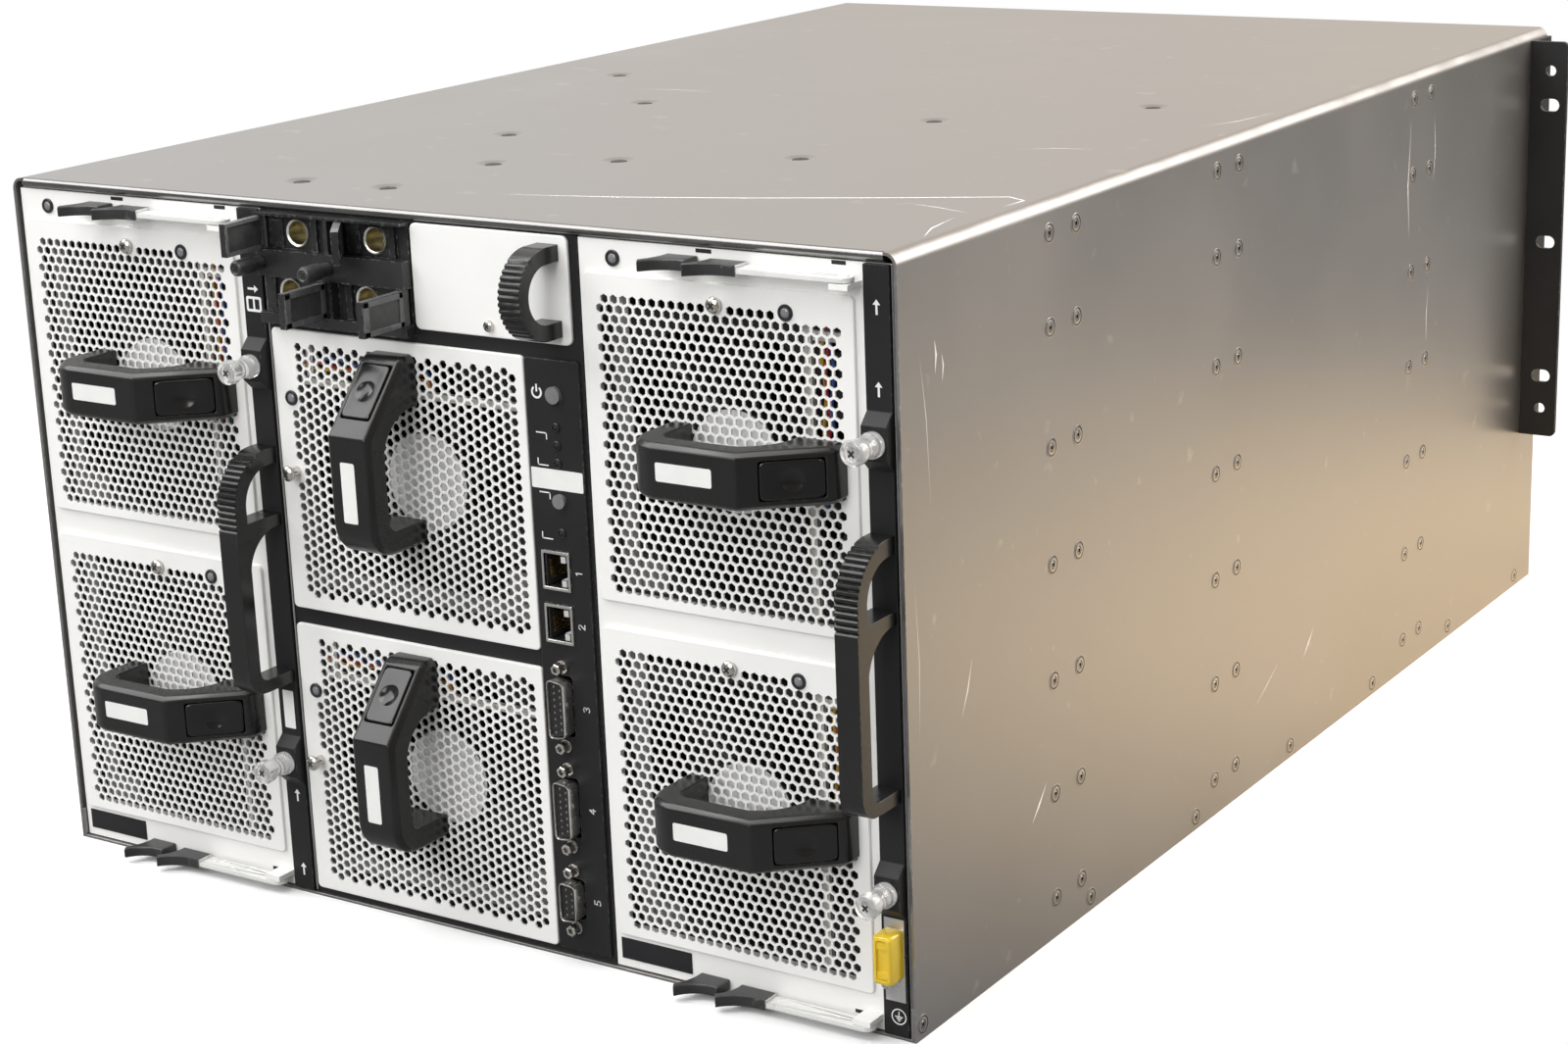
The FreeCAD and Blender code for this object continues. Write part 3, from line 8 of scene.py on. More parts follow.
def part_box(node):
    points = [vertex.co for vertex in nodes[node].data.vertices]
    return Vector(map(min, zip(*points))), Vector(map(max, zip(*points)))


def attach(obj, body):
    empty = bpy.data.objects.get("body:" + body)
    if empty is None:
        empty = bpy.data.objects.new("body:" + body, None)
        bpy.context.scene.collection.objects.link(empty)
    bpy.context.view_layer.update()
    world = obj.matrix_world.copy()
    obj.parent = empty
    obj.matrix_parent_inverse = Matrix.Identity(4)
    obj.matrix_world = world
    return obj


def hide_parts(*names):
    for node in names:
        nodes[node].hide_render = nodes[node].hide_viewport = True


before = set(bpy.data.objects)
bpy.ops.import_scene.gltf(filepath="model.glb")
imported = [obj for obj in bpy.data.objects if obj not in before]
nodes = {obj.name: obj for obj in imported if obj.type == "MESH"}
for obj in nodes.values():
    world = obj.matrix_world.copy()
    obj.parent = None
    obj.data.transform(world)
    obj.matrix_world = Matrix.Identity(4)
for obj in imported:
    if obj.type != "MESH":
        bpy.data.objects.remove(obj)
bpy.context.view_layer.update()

# Outer wrap: the top and both sides of the case, folded from one steel sheet with rounded top edges.
# Its rear edge is rolled into a hem, whose rear half is painted darker and glossier as painted shade, and
# dished seats are pressed into the top for flush screws.
# The satin metallic paint carries the scratches of a unit that has been in and out of racks. The crests of
# the top bends are painted lighter: rubbed wear and a painted highlight in one.
MM = 0.001
HALF_WIDTH, HEIGHT, REAR, FRONT = 221.5, 304.0, -336.0, 336.0
WRAP_SHEET = 1.2
EDGE_RADIUS = 5.0
HEM_RADIUS = 2.0
HEM_RETURN = 8.0
SEAT_RADIUS = 7.4
TOP_SEATS = ((-158.5, 21.0), (151.1, 9.0), (-86.7, -57.0), (76.5, -61.0), (-88.0, -161.0),
             (75.5, -171.0), (4.5, -203.4), (-42.8, -229.5), (-92.5, -295.0), (-46.5, -294.0))
TOP_SCRATCHES = (
    (((6, -292), (58, -279), (108, -262), (158, -242), (204, -222), (213, -227), (212, -242)), 0.9),
    (((150, -120), (166, -112), (187, -108)), 0.4),
    (((-120, -20), (-96, -16), (-70, -17)), 0.4),
    (((196, -40), (206, -18), (211, 12)), 0.45),
    (((215, -306), (209, -290), (206, -268)), 0.7),
    (((172, -248), (190, -252), (206, -258)), 0.5),
)
SIDE_SCRATCHES = (
    (((-322, 266), (-318, 240), (-316, 205)), 0.3),
    (((-329, 180), (-327, 150), (-328, 118)), 0.3),
    (((146, 283), (143, 250), (146, 222)), 0.6),
    (((176, 281), (178, 262), (176, 245)), 0.4),
    (((173, 196), (171, 180), (172, 166)), 0.4),
    (((-30, 38), (-18, 44), (-4, 52)), 0.4),
    (((-243, 56), (-237, 62), (-230, 70)), 1.3),
    (((24, 45), (30, 51), (36, 57)), 0.9),
    (((-297, 118), (-292, 128), (-288, 140)), 0.8),
    (((-311, 268), (-310, 262), (-311, 255)), 1.3),
    (((-306, 262), (-305, 257), (-306, 251)), 0.9),
)
PATCH_RANGE, CHIP_RANGE, SCUFF_RANGE, EDGE_TURN = (0.3, 0.7), (0.5, 0.66), (0.66, 0.82), (0.985, 0.86)
CHIP_SIZE, SCUFF_SIZE, GLOSS_DRIFT, RELIEF_DEPTH = 2.2, 13.0, 0.05, 0.15


def wired(tree, kind, *sources, **settings):
    """The outputs of a new node, whose inputs are filled in turn from sockets or with plain values."""
    made = tree.nodes.new(kind)
    for setting, value in settings.items():
        setattr(made, setting, value)
    for socket, source in zip(made.inputs, sources):
        if isinstance(source, bpy.types.NodeSocket):
            tree.links.new(source, socket)
        elif source is not None:
            socket.default_value = source
    return made.outputs


def span(tree, source, lowest, highest, start=0.0, end=1.0):
    """A value of a node tree taken from one range to another."""
    return wired(tree, "ShaderNodeMapRange", source, lowest, highest, start, end)["Result"]


def combined(tree, how, first, second):
    """Two values of a node tree combined into one."""
    return wired(tree, "ShaderNodeMath", first, second, operation=how)["Value"]


def blended(tree, share, first, second):
    """Two tones, each fixed or from a node, mixed by a share; a mix node keeps its tones after six inputs."""
    tones = [tone + (1.0,) if isinstance(tone, tuple) else tone for tone in (first, second)]
    return wired(tree, "ShaderNodeMix", share, *[None] * 5, *tones, data_type="RGBA")[2]


def finish(name, colour, rough, metal=0.0, drift=0.07, patch=70.0, relief=0.2, speck=0.5, edge_wear_and_sheen=None,
           edge_wear_and_sheen_width=0.8, scuff=0.0, **sockets):
    """A finish with patches of tone and gloss, a fine relief and, if an edge tone is given, chipped edges in
    that tone (rubbed wear, and on the inlet moulding also a painted highlight) and scuffs.
    """
    made = bpy.data.materials.new(name)
    made.use_nodes = True
    tree = made.node_tree
    link = tree.links.new
    shader = tree.nodes["Principled BSDF"]
    shader.inputs["Metallic"].default_value = metal
    for socket, value in sockets.items():
        shader.inputs[socket.replace("_", " ")].default_value = value
    spot = wired(tree, "ShaderNodeTexCoord")["Object"]

    def cloud(size, detail):
        return wired(tree, "ShaderNodeTexNoise", spot, None, 1000 / size, detail)[0]

    patches = cloud(patch, 5)
    dark = tuple(channel * (1 - drift) for channel in colour)
    light = tuple(min(1.0, channel * (1 + drift)) for channel in colour)
    tone = blended(tree, span(tree, patches, *PATCH_RANGE), dark, light)
    gloss = span(tree, patches, *PATCH_RANGE, max(0.02, rough - GLOSS_DRIFT), rough + GLOSS_DRIFT)
    # Edges in the given tone: rubbed wear, and on the inlet moulding also a painted highlight.
    if edge_wear_and_sheen:
        softened = wired(tree, "ShaderNodeBevel", edge_wear_and_sheen_width * MM, samples=4)["Normal"]
        faced = wired(tree, "ShaderNodeNewGeometry")["Normal"]
        turn = wired(tree, "ShaderNodeVectorMath", softened, faced, operation="DOT_PRODUCT")["Value"]
        edge = span(tree, turn, *EDGE_TURN)
        chips = span(tree, cloud(CHIP_SIZE, 3), *CHIP_RANGE)
        tone = blended(tree, combined(tree, "MULTIPLY", edge, chips), tone, edge_wear_and_sheen)
        if scuff:
            tone = blended(tree, span(tree, cloud(SCUFF_SIZE, 10), *SCUFF_RANGE, 0, scuff), tone, edge_wear_and_sheen)
    link(tone, shader.inputs["Base Color"])
    link(gloss, shader.inputs["Roughness"])
    bump = tree.nodes.new("ShaderNodeBump")
    bump.inputs["Strength"].default_value = relief
    bump.inputs["Distance"].default_value = RELIEF_DEPTH * MM
    link(cloud(speck, 2), bump.inputs["Height"])
    link(bump.outputs["Normal"], shader.inputs["Normal"])
    return made


def within(point, loop):
    """Whether a point of a sheet lies inside a closed loop."""
    hit = False
    for (x0, y0), (x1, y1) in zip(loop, loop[1:] + loop[:1]):
        if (y0 > point.y) != (y1 > point.y) and point.x < x0 + (point.y - y0) / (y1 - y0) * (x1 - x0):
            hit = not hit
    return hit


def punched(work, outline, holes, stand, near, far, marks=(), walled=True, mark=0):
    """A flat sheet between two depths, cut to its outline and punched, with marks in its near face."""
    loops = [outline] + list(holes) + list(marks)
    points, edges, owner = [], [], []
    for number, loop in enumerate(loops):
        first = len(points)
        points += [Vector(point) for point in loop]
        owner += [number] * len(loop)
        edges += [(first + k, first + (k + 1) % len(loop)) for k in range(len(loop))]
    flat = delaunay_2d_cdt(points, edges, [], 1, 1e-5)
    owner = [owner[source[0]] for source in flat[3]]
    fronts = [work.verts.new(stand(point.x, point.y, near)) for point in flat[0]]
    backs = [work.verts.new(stand(point.x, point.y, far)) for point in flat[0]]
    for corners in flat[2]:
        number = owner[corners[0]] if len({owner[k] for k in corners}) == 1 else 0
        middle = sum((flat[0][k] for k in corners), Vector((0, 0))) / len(corners)
        inner = number > 0 and within(middle, loops[number])
        if inner and number <= len(holes):
            continue
        work.faces.new([fronts[k] for k in corners]).material_index = 1 if inner else mark
        work.faces.new([backs[k] for k in reversed(corners)]).material_index = mark
    for one, two in flat[1]:
        rim = owner[one]
        if owner[one] == owner[two] and rim <= len(holes) and (walled or rim > 0):
            line = work.edges.get((fronts[one], fronts[two]))
            if line and line.is_boundary:
                work.faces.new((fronts[one], fronts[two], backs[two], backs[one])).material_index = mark


def circle(x, y, radius, sides):
    """A round hole's loop."""
    turns = [2 * math.pi * k / sides for k in range(sides)]
    return [(x + radius * math.cos(turn), y + radius * math.sin(turn)) for turn in turns]


def streak(path, width):
    """The loop of a scratch that thins out to a point at both ends."""
    line = [Vector(point) for point in path]
    left, right = [], []
    for before, here, after in zip(line, line[1:], line[2:]):
        side = (after - before).orthogonal().normalized() * width / 2
        left.append(tuple(here + side))
        right.append(tuple(here - side))
    return [tuple(line[0])] + left + [tuple(line[-1])] + right[::-1]


def drawn(work, section, stand, stations, mark=0):
    """A closed section drawn out along its stations, with both ends capped."""
    rings = [[work.verts.new(stand(a, b, station)) for a, b in section] for station in stations]
    for near, far in zip(rings, rings[1:]):
        for k in range(len(section)):
            after = (k + 1) % len(section)
            work.faces.new((near[k], near[after], far[after], far[k])).material_index = mark
    for cap in (rings[0], rings[-1]):
        work.faces.new(cap).material_index = mark


def turned(work, profile, base, axis=(0, -1, 0), sides=32, mark=0):
    """A profile of (radius, height) pairs turned about an axis that starts at a base point."""
    axis = Vector(axis).normalized()
    side = axis.orthogonal().normalized()
    other = axis.cross(side)
    rings = []
    for radius, height in profile:
        centre = Vector(base) + axis * height
        turns = [2 * math.pi * k / sides for k in range(sides if radius else 1)]
        rings.append([work.verts.new(centre + (side * math.cos(t) + other * math.sin(t)) * radius)
                      for t in turns])
    for low, high in zip(rings, rings[1:]):
        for k in range(sides):
            after = k + 1
            corners = list(dict.fromkeys((low[k % len(low)], low[after % len(low)], high[after % len(high)],
                                          high[k % len(high)])))
            if len(corners) > 2:
                work.faces.new(corners).material_index = mark


def placed(name, data):
    """A new object in the scene."""
    made = bpy.data.objects.new(name, data)
    bpy.context.scene.collection.objects.link(made)
    return made


def fitted(name, work, body, slot, *finishes, sharp=35, joined=False, seat=None):
    """Turn millimetre work, set on a seat if there is one, into a named piece that rides on its body."""
    if seat:
        work.transform(seat)
    if joined:
        bmesh.ops.remove_doubles(work, verts=work.verts, dist=1e-4)
    bmesh.ops.recalc_face_normals(work, faces=work.faces)
    bmesh.ops.scale(work, vec=(MM, MM, MM), verts=work.verts)
    mesh = bpy.data.meshes.new(name)
    work.to_mesh(mesh)
    work.free()
    mesh.polygons.foreach_set("use_smooth", [True] * len(mesh.polygons))
    mesh.set_sharp_from_angle(angle=math.radians(sharp))
    for made in finishes:
        mesh.materials.append(made)
    piece = placed(name, mesh)
    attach(piece, body)
    return piece


shell_paint = finish("shell_paint", (0.31, 0.303, 0.297), 0.34, metal=0.85, drift=0.06, patch=140,
                     relief=0.05, speck=0.35, edge_wear_and_sheen=(0.62, 0.6, 0.57), edge_wear_and_sheen_width=0.7, scuff=0.45)
bare_scratch = finish("bare_scratch", (0.9, 0.89, 0.87), 0.55, patch=8)
# A lighter paint for the crests of the top bends: rubbed wear and a painted highlight line in one.
rubbed_and_highlit_edge = finish("rubbed_and_highlit_edge", (0.34, 0.332, 0.325), 0.46, metal=0.85, drift=0.2, patch=25, relief=0.05)
# A darker, glossier paint for the rear half of the hem: painted shade for the dark surroundings it reflects.
hem_painted_shade = finish("hem_painted_shade", (0.22, 0.217, 0.213), 0.2, metal=0.9, drift=0.1, patch=30, relief=0.05)
LAP, SNAP = 0.6, 1e-4
RUBBED_HIGHLIT_FROM, RUBBED_HIGHLIT_TO = 0.4, 2.2
SEAT_RIM = SEAT_RADIUS - 0.002
DISH = [(0, WRAP_SHEET), (SEAT_RIM, WRAP_SHEET), (SEAT_RIM, 0), (SEAT_RIM - 0.5, 0.06), (4.2, 0.95),
        (3.9, 1.0), (0, 1.0)]
edge, crown, hem_line = HALF_WIDTH - EDGE_RADIUS, HEIGHT - EDGE_RADIUS, REAR + HEM_RADIUS
wrap = bmesh.new()
punched(wrap, [(-edge + LAP, hem_line + LAP), (edge - LAP, hem_line + LAP), (edge - LAP, FRONT),
               (-edge + LAP, FRONT)],
        [circle(x, y, SEAT_RADIUS, 28) for x, y in TOP_SEATS], lambda a, b, depth: (a, b, HEIGHT - depth),
        0, WRAP_SHEET, [streak(path, width) for path, width in TOP_SCRATCHES])
side_sheet = [(REAR, 0), (FRONT, 0), (FRONT, crown - LAP), (hem_line + LAP, crown - LAP), (REAR, crown - LAP)]
quarter = [math.radians(9 * k) for k in range(11)]
inner = EDGE_RADIUS - WRAP_SHEET
bend = [(EDGE_RADIUS, -LAP)] + [(EDGE_RADIUS * math.cos(t), EDGE_RADIUS * math.sin(t)) for t in quarter]
bend += [(-LAP, EDGE_RADIUS), (-LAP, inner)]
bend += [(inner * math.cos(t), inner * math.sin(t)) for t in reversed(quarter)] + [(inner, -LAP)]
for hand in (-1, 1):
    marks = [streak(path, width) for path, width in SIDE_SCRATCHES] if hand > 0 else []
    punched(wrap, side_sheet, [], lambda a, b, depth: (hand * (HALF_WIDTH - depth), a, b), 0, WRAP_SHEET,
            marks)
    drawn(wrap, bend, lambda a, b, y: (hand * (edge + a), y, crown + b), (REAR, hem_line + LAP, FRONT))
roll = [math.radians(90 + 12 * k) for k in range(16)]
inner = HEM_RADIUS - WRAP_SHEET
hem = [(LAP, HEM_RADIUS)] + [(HEM_RADIUS * math.cos(t), HEM_RADIUS * math.sin(t)) for t in roll]
hem += [(HEM_RETURN - HEM_RADIUS, -HEM_RADIUS), (HEM_RETURN - HEM_RADIUS, -inner)]
hem += [(inner * math.cos(t), inner * math.sin(t)) for t in reversed(roll)] + [(LAP, inner)]
drawn(wrap, hem, lambda a, b, x: (x, hem_line + a, HEIGHT - HEM_RADIUS + b), (-edge + LAP, edge - LAP))
seams = []
for face in wrap.faces:
    spots = [corner.co for corner in face.verts]
    across = all(abs(abs(spot.x) - edge + LAP) < SNAP and spot.y > hem_line for spot in spots)
    upward = all(abs(spot.z - crown + LAP) < SNAP for spot in spots)
    behind = all(abs(spot.y - hem_line - LAP) < SNAP for spot in spots)
    middle = face.calc_center_median()
    out, up = abs(middle.x) - edge, middle.z - crown
    if across or upward or behind:
        seams.append(face)
    # Faces on the crest of a top bend take the lighter paint, a painted highlight along the bend with some
    # rubbed wear.
    elif out > 0 and math.hypot(out, up) > EDGE_RADIUS - 0.5 and RUBBED_HIGHLIT_FROM < up / out < RUBBED_HIGHLIT_TO:
        face.material_index = 2
    # Faces on the rear half of the hem take the darker paint, painted shade.
    elif out < 0 and middle.y < hem_line:
        face.material_index = 3
bmesh.ops.delete(wrap, geom=seams, context="FACES_ONLY")
for x, y in TOP_SEATS:
    turned(wrap, DISH, (x, y, HEIGHT), (0, 0, -1), 28)
outer_wrap = fitted("outer_wrap_sheet", wrap, "chassis", "shell_paint", shell_paint, bare_scratch,
                    rubbed_and_highlit_edge, hem_painted_shade, joined=True)
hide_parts("outer_wrap")

# Top screws: small countersunk steel screws, blackened, driven flush into the dished seats.
# They pull the wrap down onto the partitions and the card cage inside.
blackened_steel = finish("blackened_steel", (0.06, 0.058, 0.056), 0.45, metal=0.8, patch=6)
TOP_SCREW = [(0, 0.3), (0.5, 0.3), (0.7, 0.62), (3.0, 0.62), (3.5, 0.4), (3.6, 0), (0, 0)]
TOP_SCREW_DROP = 1.02
screws = bmesh.new()
for x, y in TOP_SEATS:
    turned(screws, TOP_SCREW, (x, y, HEIGHT - TOP_SCREW_DROP), (0, 0, 1), 20)
fitted("top_screws", screws, "chassis", "black_frame", blackened_steel)

# Side rivets: flush blind rivets in pairs of columns, which hold the card cage to the side walls.
# A lower row joins the wall to the floor pan's flange. Each is an aluminium body in a painted dimple, its
# grooves and centre hole painted near black as shade.
RIVET_COLUMNS = (113.0, 135.0, 263.0, 285.0, 485.0, 506.5)
RIVET_ROWS = (291.4, 254.4, 206.6, 158.8, 110.5, 62.3, 17.0)
LOW_RIVETS, LOW_ROW, RIVET_MARGIN = (5.0, 143.0, 243.5, 345.7, 445.7, 547.8, 647.8), 6.0, 4.4
# Bands marked 1 are the grooves and the centre hole, which take the painted shade.
RIVET_PROFILES = (
    (0, [(4.1, -0.1), (4.1, 0.12), (3.9, 0.2), (3.6, 0.2)]),
    (1, [(3.6, 0.2), (3.55, 0.02), (3.1, 0.02), (3.05, 0.16)]),
    (0, [(3.05, 0.16), (2.85, 0.24), (1.75, 0.24)]),
    (1, [(1.75, 0.24), (1.7, 0.06), (1.4, 0.06)]),
    (0, [(1.4, 0.06), (1.3, 0.2), (0.9, 0.2)]),
    (1, [(0.9, 0.2), (0.85, 0), (0, 0)]),
)
rivets = bmesh.new()
rivet_places = [(column, row) for column in RIVET_COLUMNS for row in RIVET_ROWS]
rivet_places += [(column, LOW_ROW) for column in LOW_RIVETS]
for column, row in rivet_places:
    for hand in (-1, 1):
        seat = (hand * HALF_WIDTH, REAR + max(column, RIVET_MARGIN), row)
        for mark, profile in RIVET_PROFILES:
            turned(rivets, profile, seat, (hand, 0, 0), 24, mark)
rivet_paint = finish("rivet_paint", (0.36, 0.345, 0.33), 0.32, metal=0.85, patch=5)
# Near-black painted shade for the rivets' grooves and centre holes.
rivet_groove_painted_shade = finish("rivet_groove_painted_shade", (0.05, 0.048, 0.046), 0.6, patch=3)
fitted("side_rivets", rivets, "chassis", "shell_paint", rivet_paint, rivet_groove_painted_shade, joined=True)

# Floor pan and front panels: painted steel sheet like the wrap, the pan with its flanges turned up.
# The front of the case is closed by plain filler panels, one over the other.


def broken_edges(piece, ease, steps, angle):
    """Break the sharp edges of a piece as the press tool or the mould does."""
    eased = piece.modifiers.new("eased", "BEVEL")
    eased.width = ease * MM
    eased.segments = steps
    eased.limit_method = "ANGLE"
    eased.angle_limit = math.radians(angle)


def dress(node, *finishes, ease=0.0, steps=2):
    """Give a CAD node its finishes and, where an ease is given, broken edges."""
    made = nodes[node]
    made.data.materials.clear()
    for each in finishes:
        made.data.materials.append(each)
    made.data.polygons.foreach_set("use_smooth", [True] * len(made.data.polygons))
    if ease:
        joined = made.modifiers.new("joined", "WELD")
        joined.merge_threshold = 1e-6
        broken_edges(made, ease, steps, 30)
        shaded = made.modifiers.new("shaded", "WEIGHTED_NORMAL")
        shaded.keep_sharp = False


dress("bottom_pan", shell_paint, ease=0.25)
dress("front_panels", shell_paint, ease=0.5)

# Rack ears: two L brackets of thicker steel sheet near the front, slotted for the rack's screws.
# Black powder coat, rubbed along the edges where the unit has been slid into place.
black_coat = finish("black_coat", (0.016, 0.016, 0.017), 0.42, drift=0.2, relief=0.35, speck=0.55,
                    edge_wear_and_sheen=(0.2, 0.2, 0.2), edge_wear_and_sheen_width=0.5, Specular_IOR_Level=0.25)
dress("rack_ears", black_coat, ease=0.4)

# Bay frame: the black rear frame of bent sheet, with the two partitions and the shelf of the bays.
# The modules slide into it and cover most of its face.
dress("bay_frame", black_coat, ease=0.3)

# Midplane: the thick circuit board across the inside that every module plugs into.
# Green solder mask over copper, plain on the side that can be seen past a drawn module.
solder_mask = finish("solder_mask", (0.012, 0.075, 0.03), 0.35, drift=0.25, patch=9, relief=0.3, speck=2.0)
dress("midplane", solder_mask)

# Module trays: white painted steel, with a face for two fans, a main wall and rails for the board.
# The paint is smooth and slightly warm, and grey along the handled edges.


def solids_of(node):
    """The polygon numbers of each separate solid in a node, largest first."""
    mesh = nodes[node].data
    solids = []
    for polygon in mesh.polygons:
        corners = {tuple(round(value * 1e6) for value in mesh.vertices[k].co) for k in polygon.vertices}
        met = [solid for solid in solids if solid[0] & corners]
        solids = [solid for solid in solids if solid not in met]
        solids.append((corners.union(*[solid[0] for solid in met]),
                       sum([solid[1] for solid in met], []) + [polygon.index]))
    return sorted([numbers for corners, numbers in solids], key=len, reverse=True)


white_paint = finish("white_paint", (0.87, 0.865, 0.845), 0.38, drift=0.02, patch=45, relief=0.08, speck=0.8,
                     edge_wear_and_sheen=(0.55, 0.54, 0.52), edge_wear_and_sheen_width=0.35)
TRAY_LEFTS = {"left": -218.6, "right": 80.6}
TRAY_FACE = -334.5
for hand in TRAY_LEFTS:
    node = hand + "_tray"
    dress(node, white_paint, solder_mask, ease=0.3)
    for number in solids_of(node)[1]:
        nodes[node].data.polygons[number].material_index = 1

# Tray fittings: a status light near the top left corner, a bare black plate at the bottom left, and the slots
# above the tabs and beside the lever pins, through which the latches reach, as flat near-black bars of
# painted shade.
light_ring = finish("light_ring", (0.02, 0.02, 0.022), 0.3, patch=4)
light_lens = finish("light_lens", (0.2, 0.2, 0.21), 0.18, patch=2, Coat_Weight=0.6)
plate_black = finish("plate_black", (0.018, 0.018, 0.02), 0.5, patch=12, relief=0.2, Specular_IOR_Level=0.25)
# Near-black painted shade for the tray slots and the screws' driver recesses.
recess_painted_shade = finish("recess_painted_shade", (0.008, 0.008, 0.008), 0.7, patch=5)
LIGHT_RADIUS, TRAY_LIGHT = 3.2, (15.9, 292.6)
TRAY_PLATE = ((2.6, 5.2), (37.0, 14.2))
TRAY_SLOTS, SLOT_HEIGHT = ((54, 61, 297.6), (113, 119, 297.8), (113, 119, 6.2)), 1.5
SUNK = 0.1


def bar(work, low, high, ease, mark=0):
    """A small bar or plate between two corners, with its edges broken."""
    cube = bmesh.ops.create_cube(work, size=1.0)["verts"]
    low, high = Vector(low), Vector(high)
    for corner in cube:
        corner.co = Vector([low[k] + (corner.co[k] + 0.5) * (high[k] - low[k]) for k in range(3)])
    faces = {face for corner in cube for face in corner.link_faces}
    for face in faces:
        face.material_index = mark
    edges = list({line for corner in cube for line in corner.link_edges})
    bmesh.ops.bevel(work, geom=edges, offset=ease, segments=2, profile=0.7, affect="EDGES")


def lamp(work, x, z, face, radius):
    """An indicator light in its ring, facing the rear."""
    turned(work, [(radius, 0), (radius, 0.5), (radius - 0.3, 0.9), (radius * 0.68, 0.95),
                  (radius * 0.62, 0.5)], (x, face, z), mark=0)
    turned(work, [(radius * 0.62, 0.45), (radius * 0.5, 0.8), (radius * 0.25, 1.0), (0, 1.05)],
           (x, face, z), mark=1)


for hand, left in TRAY_LEFTS.items():
    work = bmesh.new()
    lamp(work, left + TRAY_LIGHT[0], TRAY_LIGHT[1], TRAY_FACE, LIGHT_RADIUS)
    fitted(hand + "_tray_light", work, hand + "_module", "black_plastic", light_ring, light_lens)
    work = bmesh.new()
    (start, low), (end, high) = TRAY_PLATE
    bar(work, (left + start, TRAY_FACE - 0.3, low), (left + end, TRAY_FACE + SUNK, high), 0.12)
    fitted(hand + "_tray_plate", work, hand + "_module", "black_plastic", plate_black)
    work = bmesh.new()
    # Each slot is a flat near-black bar, painted shade for the opening.
    for start, end, level in TRAY_SLOTS:
        bar(work, (left + start, TRAY_FACE - 0.12, level),
            (left + end, TRAY_FACE + SUNK, level + SLOT_HEIGHT), 0.04)
    fitted(hand + "_tray_slots", work, hand + "_module", "black_plastic", recess_painted_shade)

# Strips: black powder-coated steel down the right of each face, raised into bosses at the screws.
# White printed arrows and a sign of two bays show where the modules go. The left one has a bare sticker.
for hand in TRAY_LEFTS:
    dress(hand + "_bracket", black_coat, ease=0.45)
STRIP_FRONT = -336.5
STRIP_MIDDLE = {"left": -86.1, "right": 213.1}
STRIP_ARROWS = {"left": ((0.5, 45.0, 0), (0.5, 11.0, 0), (0, 266.3, -90)),
                "right": ((0, 284.1, 0), (0, 254.1, 0))}
BAY_SIGN_LEVEL, BAY_SIGN_GAP, STRIP_STICKER_LEVEL = 259.9, 1.75, 84.0
PRINT = 0.015
print_white = finish("print_white", (0.8, 0.8, 0.79), 0.55, drift=0.03, patch=5)


def rearward(face, x=0.0, z=0.0):
    """How flat corners about a point stand on a face that looks to the rear; depths count outwards."""
    return lambda a, b, depth: (x + a, face - depth, z + b)


def printed(work, loop, face, holes=()):
    """A thin printed shape on a face that looks to the rear."""
    punched(work, loop, list(holes), rearward(face), PRINT, 0)


def ruled(work, path, width, face):
    """A thin printed line that follows a path on a face that looks to the rear."""
    line = [Vector(point) for point in path]
    for start, end in zip(line, line[1:]):
        along = (end - start).normalized() * width / 2
        side = along.orthogonal()
        corners = (start - along - side, end + along - side, end + along + side, start - along + side)
        printed(work, [tuple(corner) for corner in corners], face)


def arrow(x, z, turn):
    """The loop of an arrow whose middle is at a place; it points up before it is turned."""
    end, neck, barb, shoulder = 2.8, 0.45, 1.6, 0.8
    shape = [(-neck, -end), (neck, -end), (neck, shoulder), (barb, shoulder), (0, end), (-barb, shoulder),
             (-neck, shoulder)]
    c, s = math.cos(math.radians(turn)), math.sin(math.radians(turn))
    return [(x + a * c - b * s, z + a * s + b * c) for a, b in shape]


def rounded(width, height, radius, steps=4, middle=(0, 0)):
    """The loop of a rectangle with rounded corners about a middle."""
    loop = []
    for turn, x, y in ((0, 1, 1), (90, -1, 1), (180, -1, -1), (270, 1, -1)):
        for k in range(steps + 1):
            angle = math.radians(turn + 90 * k / steps)
            loop.append((middle[0] + x * (width / 2 - radius) + radius * math.cos(angle),
                         middle[1] + y * (height / 2 - radius) + radius * math.sin(angle)))
    return loop


for hand, middle in STRIP_MIDDLE.items():
    work = bmesh.new()
    for x, z, turn in STRIP_ARROWS[hand]:
        printed(work, arrow(middle + x, z, turn), STRIP_FRONT)
    if hand == "left":
        bays = [rounded(2.5, 4.2, 0.2, 1, (middle + x, BAY_SIGN_LEVEL))
                for x in (-BAY_SIGN_GAP, BAY_SIGN_GAP)]
        printed(work, rounded(8.2, 6.4, 0.9, middle=(middle, BAY_SIGN_LEVEL)), STRIP_FRONT, bays)
    fitted(hand + "_strip_arrows", work, hand + "_module", "white_paint", print_white)
sticker_white = finish("sticker_white", (0.8, 0.8, 0.78), 0.45, drift=0.03, patch=9, relief=0.05)
work = bmesh.new()
printed(work, rounded(6.0, 17.0, 0.5, middle=(STRIP_MIDDLE["left"], STRIP_STICKER_LEVEL)), STRIP_FRONT)
fitted("left_strip_sticker", work, "left_module", "white_paint", sticker_white)

